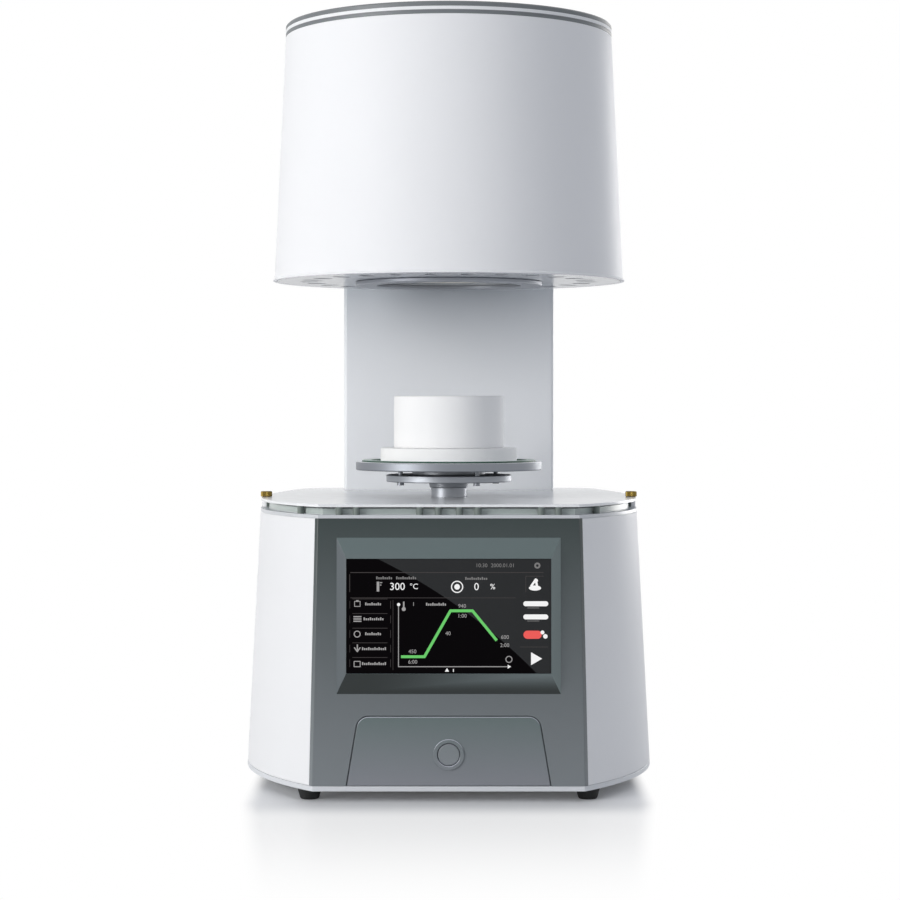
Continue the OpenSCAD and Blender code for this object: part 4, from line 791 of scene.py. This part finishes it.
shaft_low, shaft_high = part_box("lift_shaft")
shaft_r = (shaft_high.x - shaft_low.x) / 2
shaft = turned_ring(0, shaft_r, shaft_low.z, shaft_high.z)
round_edges(shaft, 0.5 * mm)
place_piece(shaft, "ground_shaft", "lift_tray", ground_metal, ["lift_shaft"])

# Electronics. The control board stands on pillars at the left of the pan, and the power supply is a folded
# metal box with slots at the right.

board_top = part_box("control_board")[0].z + 9.8 * mm
board_blur = 0.2 * mm


def circuit_board():
    """Green lacquered board with copper tracks and dark parts."""
    finish = Finish("circuit_board", Roughness=0.4)
    tracks = finish.node(
        "TexBrick",
        {"offset": 0.5},
        {
            "Vector": finish.place,
            "Color1": srgb(30, 92, 60),
            "Color2": srgb(24, 80, 52),
            "Mortar": srgb(120, 150, 90),
            "Scale": 160.0,
            "Mortar Size": 0.06,
        },
        output="Color",
    )
    parts = finish.axis("Z").step(board_top, board_top + board_blur)
    finish.set(Base_Color=finish.blend(parts, tracks, srgb(38, 38, 40)))
    return finish.bump(finish.noise(900, 2), 0.05 * mm)


dress("control_board", circuit_board())
dress("power_supply", drawn_metal("supply_sheet", srgb(176, 180, 184), 0.35, (1, 30, 1)))

# Firing tray. A turned hub and its flange are pressed on the shaft and screwed to the turned steel tray.
# A green silicone ring seals it, and two refractory pieces carry the work.

turned_steel = turned_metal("turned_steel", srgb(170, 174, 181), 0.48)
hub_low, hub_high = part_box("shaft_flange")
hub_r = (hub_high.x - hub_low.x) / 2
foot_wall, root_wall = 1.2 * mm, 2.2 * mm
hub_flange_z = hub_low.z + 5 * mm
hub_flange_top = hub_flange_z + 5.7 * mm
neck_r = 30 * mm
hub = turned(
    [
        (0, hub_low.z),
        (shaft_r + foot_wall, hub_low.z),
        (shaft_r + root_wall, hub_flange_z),
        (hub_r, hub_flange_z),
        (hub_r, hub_flange_top),
        (neck_r, hub_flange_top),
        (neck_r, hub_high.z),
        (0, hub_high.z),
    ]
)
round_edges(hub, 0.7 * mm)
place_piece(hub, "turned_hub", "lift_tray", turned_steel, ["shaft_flange"])
plated_steel = anodised("plated_screws", srgb(128, 132, 138), 0.35)
softened("flange_screws", "lift_tray", plated_steel, 0.3 * mm)


def paint_lit_top(finish, top, colour, lit_top_colour):
    """Paints the upper face of a piece a lighter colour of its own: painted light, which also throws more
    light up onto the pieces above.
    """
    upper = finish.axis("Z").step(top - 0.3 * mm, top - 0.1 * mm)
    finish.set(Base_Color=finish.blend(upper, colour, lit_top_colour))


tray_low, tray_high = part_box("tray_plate")
tray_grey = srgb(135, 139, 146)
tray_steel = turned_metal("tray_steel", tray_grey, 0.47)
# Painted light: the tray's top face is near white, much lighter than its sides.
paint_lit_top(tray_steel, tray_high.z, tray_grey, srgb(236, 239, 242))
tray_r = (tray_high.x - tray_low.x) / 2
seal_low, seal_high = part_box("seal_ring")
seal_out = (seal_high.x - seal_low.x) / 2
seal_w = 7.5 * mm
seal_in = seal_out - seal_w
seal_seat = 0.15 * mm
tray = turned(
    [
        (0, tray_low.z),
        (tray_r, tray_low.z),
        (tray_r, tray_high.z),
        (seal_out + seal_seat, tray_high.z),
        (seal_out + seal_seat, seal_low.z),
        (seal_in - seal_seat, seal_low.z),
        (seal_in - seal_seat, tray_high.z),
        (0, tray_high.z),
    ]
)
round_edges(tray, 0.7 * mm)
place_piece(tray, "turned_tray", "lift_tray", tray_steel, ["tray_plate"])
seal = turned_ring(seal_in, seal_out, seal_low.z, seal_high.z)
round_edges(seal, 0.9 * mm)
seal_green = srgb(34, 72, 58)
seal_silicone = moulded("seal_silicone", seal_green, 0.5)
# Painted light: the seal's top is a pale tint, far lighter than its green sides.
paint_lit_top(seal_silicone, seal_high.z, seal_green, srgb(214, 228, 220))
place_piece(seal, "moulded_seal", "lift_tray", seal_silicone, ["seal_ring"])


def pressed_fibre(name, colour, pits, flecks=0.35):
    """Pressed ceramic fibre: chalky, with fine pits, darker flecks and a faint drift of shade."""
    finish = Finish(name, Specular_IOR_Level=0.15)
    felt = finish.noise(900, 5)
    pores = finish.node(
        "TexVoronoi",
        {"feature": "F1"},
        {"Vector": finish.place, "Scale": 420.0},
        output="Distance",
    ).step(0.05, 0.35)
    fleck = finish.noise(260, 3).step(0.66, 0.74)
    chalk = finish.blend(finish.noise(20, 3), shade(colour, 0.97), colour)
    finish.set(Base_Color=finish.blend(fleck * flecks, chalk, shade(colour, 0.72)))
    finish.set(Roughness=felt * 0.1 + 0.86)
    return finish.bump(felt * 0.6 + pores * 0.4, pits)


refractory = pressed_fibre("refractory_white", srgb(255, 255, 255), 0.05 * mm, 0.02)
for node in ("table_disc", "firing_block"):
    low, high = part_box(node)
    piece_r = (high.x - low.x) / 2
    disc = turned_ring(0, piece_r, low.z, high.z)
    round_edges(disc, 1.1 * mm)
    place_piece(disc, node + "_pressed", "lift_tray", refractory, [node])

# Column. Two galvanised posts stand in the pan and carry the head. A folded and coated cover with a flat
# back closes them in.

galvanised = anodised("galvanised_sheet", srgb(150, 154, 158), 0.42)
column_coat = powder_coat("column_coat", srgb(240, 242, 246), 0.36)
head_foot_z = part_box("under_plate")[0].z
# Painted shade: faces of this coat that look to the front darken towards the foot of the head, where the
# head shades them.
below_head = column_coat.axis("Z").step(tray_high.z, head_foot_z, "LINEAR") ** 3.0
front = 1 - column_coat.facing("Y").step(-0.25, -0.02)
column_painted_shade = column_coat.blend(below_head * front, srgb(244, 246, 249), srgb(182, 187, 193))
column_coat.set(Base_Color=column_painted_shade)
softened("column_cover", "furnace", column_coat, 0.4 * mm, join_flat=True)
softened("column_back", "furnace", column_coat, 0.3 * mm)
dress("column_posts", galvanised)

# Heating head inside. A steel arm holds the vacuum vessel. Pressed fibre lines it, and the quartz liner,
# the wound heating wire and the thermocouple sit in the fibre's bore.

dress("head_bracket", galvanised)
dress("vacuum_vessel", turned_metal("vessel_steel", srgb(178, 182, 186), 0.3))
dress("insulation", pressed_fibre("fibre_lining", srgb(236, 233, 224), 0.4 * mm))


def quartz_tube():
    """Fused quartz: clear, with drawn streaks that scatter a little."""
    finish = Finish("quartz_tube", Transmission_Weight=0.85, IOR=1.46, Specular_IOR_Level=0.5)
    streak = finish.noise(160, 3, (1, 1, 0.05))
    finish.set(Base_Color=finish.blend(streak, srgb(214, 224, 228), srgb(238, 243, 245)))
    finish.set(Roughness=streak * 0.3 + 0.12)
    return finish


dress("quartz_liner", quartz_tube())
dress("heating_coil", anodised("oxidised_wire", srgb(92, 70, 58), 0.6))
dress("thermocouple", pressed_fibre("probe_ceramic", srgb(228, 218, 204), 0.1 * mm))
softened("head_saddle", "furnace", column_coat, 0.6 * mm)

# Heating head outside. The tapered white drum is spun steel with a lip at its foot, closed below by a
# slotted plate and the chamber's sealing flange, and above by two rings and a slotted cap.

head_coat = powder_coat("head_coat", srgb(241, 242, 244), 0.42, specular=0.05)
under_coat = powder_coat("under_coat", srgb(170, 174, 180), 0.2, 0.004 * mm, 0.36)
softened("under_plate", "furnace", under_coat, 0.0)
softened("head_shell", "furnace", head_coat, 0.3 * mm)

mouth_low, mouth_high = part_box("chamber_flange")
mouth_out = (mouth_high.x - mouth_low.x) / 2
mouth_w = 17 * mm
mouth = turned_ring(mouth_out - mouth_w, mouth_out, mouth_low.z, mouth_high.z)
round_edges(mouth, 0.7 * mm)
mouth_steel = turned_metal("mouth_steel", srgb(150, 154, 162), 0.46)
place_piece(mouth, "turned_mouth", "furnace", mouth_steel, ["chamber_flange"])

ring_coat = powder_coat("ring_coat", srgb(112, 117, 120), 0.45)
ring_w = 12 * mm
cap_rings = (("dark_ring", "ring_dark", ring_coat), ("white_ring", "ring_white", head_coat))
for node, slot, finish in cap_rings:
    low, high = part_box(node)
    ring_out = (high.x - low.x) / 2
    ring = turned_ring(ring_out - ring_w, ring_out, low.z, high.z)
    round_edges(ring, 0.35 * mm)
    place_piece(ring, node + "_turned", "furnace", finish, [node])
softened("top_cap", "furnace", ring_coat, 0.0)

# Rear service panel. It carries the mains inlet, the pump outlet, the switch, the fan with its wire guard
# and the vacuum nipple, whose copper pipe climbs inside the column.


def pan_head_screws(seats, out, radius, height):
    """Pan-head screws with a sunk crown, one on each seat, which all face one way."""
    form = bmesh.new()
    turn_out = out.to_track_quat("Z", "Y").to_matrix().to_4x4()
    for seat in seats:
        head = bmesh.ops.create_cone(
            form,
            cap_ends=True,
            segments=28,
            radius1=radius,
            radius2=radius * 0.8,
            depth=height,
            matrix=Matrix.Translation(seat) @ turn_out @ Matrix.Translation((0, 0, height / 2)),
        )["verts"]
        faces = {f for v in head for f in v.link_faces}
        crown = [f for f in faces if f.normal.dot(out) > 0.9]
        bmesh.ops.inset_individual(form, faces=crown, thickness=radius * 0.4, depth=-height * 0.4)
    round_edges(form, height * 0.12)
    return form


rear_coat = powder_coat("rear_coat", srgb(196, 200, 203), 0.48)
black_plastic = moulded("fitting_plastic", srgb(30, 30, 31), 0.45)
softened("rear_panel", "furnace", rear_coat, 0.3 * mm)
rear_low, rear_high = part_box("rear_panel")
cover_low, cover_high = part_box("column_back")
guard_low, guard_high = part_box("fan_guard")
fan_middle_z = (guard_low.z + guard_high.z) / 2
sheet_screw_r = 2.6 * mm
sheet_screw_h = 1.7 * mm
screw_inset = 6 * mm
cover_foot_inset = 18 * mm
fan_screw_x = 26 * mm
seats = []
for side in (-1, 1):
    for row in range(3):
        for high, foot in (
            (rear_high, rear_low.z + screw_inset),
            (cover_high, cover_low.z + cover_foot_inset),
        ):
            pitch = (high.z - screw_inset - foot) / 2
            seats.append((side * (high.x - screw_inset), high.y, foot + row * pitch))
    for rise in (-1, 1):
        seats.append((side * fan_screw_x, guard_high.y, fan_middle_z + rise * fan_screw_x))
bright_zinc = anodised("bright_zinc", srgb(196, 199, 204), 0.3)
sheet_screws = pan_head_screws(seats, Vector((0, 1, 0)), sheet_screw_r, sheet_screw_h)
place_piece(sheet_screws, "sheet_screws", "furnace", bright_zinc)
softened("mains_inlet", "furnace", black_plastic, 0.2 * mm)
softened("pump_socket", "furnace", black_plastic, 0.2 * mm)
softened("main_switch", "furnace", black_plastic, 0.3 * mm)
rocker_red = moulded("rocker_red", srgb(176, 34, 30), 0.35)
fan_plastic = moulded("fan_plastic", srgb(46, 47, 49), 0.5)
guard_wire = anodised("guard_wire", srgb(188, 191, 194), 0.28)
nipple_metal = drawn_metal("nipple_metal", srgb(186, 188, 190), 0.25, (1, 20, 1))
softened("switch_rocker", "rocker", rocker_red, 0.3 * mm)
softened("fan_frame", "furnace", fan_plastic, 0.2 * mm)
dress("fan_rotor", moulded("rotor_plastic", srgb(36, 37, 39), 0.45))
softened("fan_guard", "furnace", guard_wire, 0.4 * mm)
softened("vacuum_nipple", "furnace", nipple_metal, 0.3 * mm)
dress("vacuum_pipe", drawn_metal("copper_pipe", srgb(184, 115, 78), 0.3, (1, 1, 20)))

# Studio. A pale floor fades to white away from the furnace, but for a grey band in front of the base that is
# a painted reflection of it. A soft lamp stands at the left, with weaker ones overhead and behind at the
# right, and the camera stands low in front.

studio = Finish("studio_floor")
floor_reach = 8.0
base_front, base_back = -cad_box[0][1], cad_box[1][1]
contact_end = base_front + 0.065
# Painted reflection: over the base's width the veil stays low, so the lit floor shows as a grey band shaped
# like the base's mirror image. Its sides draw in with distance and it fades outward. Near the base the
# floor's own rendered shadow shows through it.
painted_reflection_start, painted_reflection_end = base_front + 0.045, base_front + 0.37
back_start, back_end = base_back - 0.02, base_back + 0.14
side_start, side_end = 0.142, 0.158
side_draw_in = 0.1
least_veil, contact_veil, painted_reflection_veil = 0.06, 0.57, 0.36
floor_form = bmesh.new()
bmesh.ops.create_grid(floor_form, x_segments=8, y_segments=8, size=floor_reach)
floor_mesh = bpy.data.meshes.new("studio_floor")
floor_form.to_mesh(floor_mesh)
floor_form.free()
floor = bpy.data.objects.new("studio_floor", floor_mesh)
bpy.context.scene.collection.objects.link(floor)
floor_mesh.materials.append(studio.material)
studio.set(Base_Color=srgb(232, 233, 235), Roughness=0.35, Specular_IOR_Level=0.35)
out_x = studio.axis("X")
out_y = studio.axis("Y")
before = 0 - out_y
past_front = (before - base_front).math("MAXIMUM", 0.0)
beside = (out_x.math("ABSOLUTE") + past_front * side_draw_in).step(side_start, side_end)
near_veil = before.step(base_front, contact_end) * contact_veil
near_veil = near_veil + before.step(painted_reflection_start, painted_reflection_end) * painted_reflection_veil + least_veil
near_veil = near_veil.math("MAXIMUM", out_y.step(back_start, back_end))
seen = studio.node("LightPath", output="Is Camera Ray") + studio.node("LightPath", output="Is Glossy Ray")
veil = seen * (near_veil + beside * (1 - near_veil))
white = studio.node("Emission", {}, {"Color": (1, 1, 1, 1), "Strength": 1.0}, output="Emission")
lit_floor = Signal(studio, studio.shader.outputs["BSDF"])
mixed = studio.node("MixShader", {}, {0: veil, 1: lit_floor, 2: white}, output="Shader")
studio.feed(studio.tree.nodes["Material Output"].inputs["Surface"], mixed)

world = bpy.data.worlds.new("studio")
bpy.context.scene.world = world
world.use_nodes = True
sky = Nodes(world.node_tree)
backdrop = world.node_tree.nodes["Background"]
ambient = 0.47
ambient_tint = (0.945, 0.98, 1.06, 1)
darkest_left = 0.9
shown = sky.node("LightPath", output="Is Camera Ray")
for ray in ("Is Glossy Ray", "Is Transmission Ray"):
    shown = shown.math("MAXIMUM", sky.node("LightPath", output=ray))
sky.feed(backdrop.inputs["Color"], sky.blend(shown, ambient_tint, (1, 1, 1, 1)))
direction = sky.node("TexCoord", output="Generated")
rightward = sky.node("SeparateXYZ", {}, {"Vector": direction}, output="X")
black_card = (0 - rightward).step(0.4, 0.95) * darkest_left
sky.feed(backdrop.inputs["Strength"], shown.math("MAXIMUM", (1 - black_card) * ambient))

lamp_tint = (1.0, 0.985, 0.96)
furnace_middle = Vector((0, 0, 0.3))


def soft_lamp(name, azimuth, elevation, distance, size, power):
    """A square soft box that faces the middle of the furnace. Its azimuth is 0 at the camera's side and
    grows to the left."""
    turn, rise = math.radians(azimuth), math.radians(elevation)
    away = Vector((-math.sin(turn) * math.cos(rise), -math.cos(turn) * math.cos(rise), math.sin(rise)))
    lamp = bpy.data.lights.new(name, "AREA")
    lamp.shape = "SQUARE"
    lamp.size = size
    lamp.energy = power
    lamp.color = lamp_tint
    holder = bpy.data.objects.new(name, lamp)
    holder.location = furnace_middle + away * distance
    holder.rotation_euler = away.to_track_quat("Z", "Y").to_euler()
    bpy.context.scene.collection.objects.link(holder)


soft_lamp("key_lamp", azimuth=54, elevation=10, distance=2.3, size=1.1, power=30)
soft_lamp("top_lamp", azimuth=20, elevation=72, distance=2.4, size=1.6, power=6)
soft_lamp("rim_lamp", azimuth=-144, elevation=6, distance=2.2, size=0.9, power=11)

camera = bpy.data.cameras.new("bench_camera")
camera.sensor_width = 36
camera.lens = 94.9
camera.clip_end = 50
camera_tilt = math.radians(1.098)
viewpoint = bpy.data.objects.new("bench_camera", camera)
viewpoint.location = (0.001, -1.974, 0.300)
viewpoint.rotation_euler = (math.pi / 2 - camera_tilt, 0, 0)
bpy.context.scene.collection.objects.link(viewpoint)
bpy.context.scene.camera = viewpoint
bpy.context.scene.view_settings.view_transform = "Standard"

bpy.context.view_layer.update()
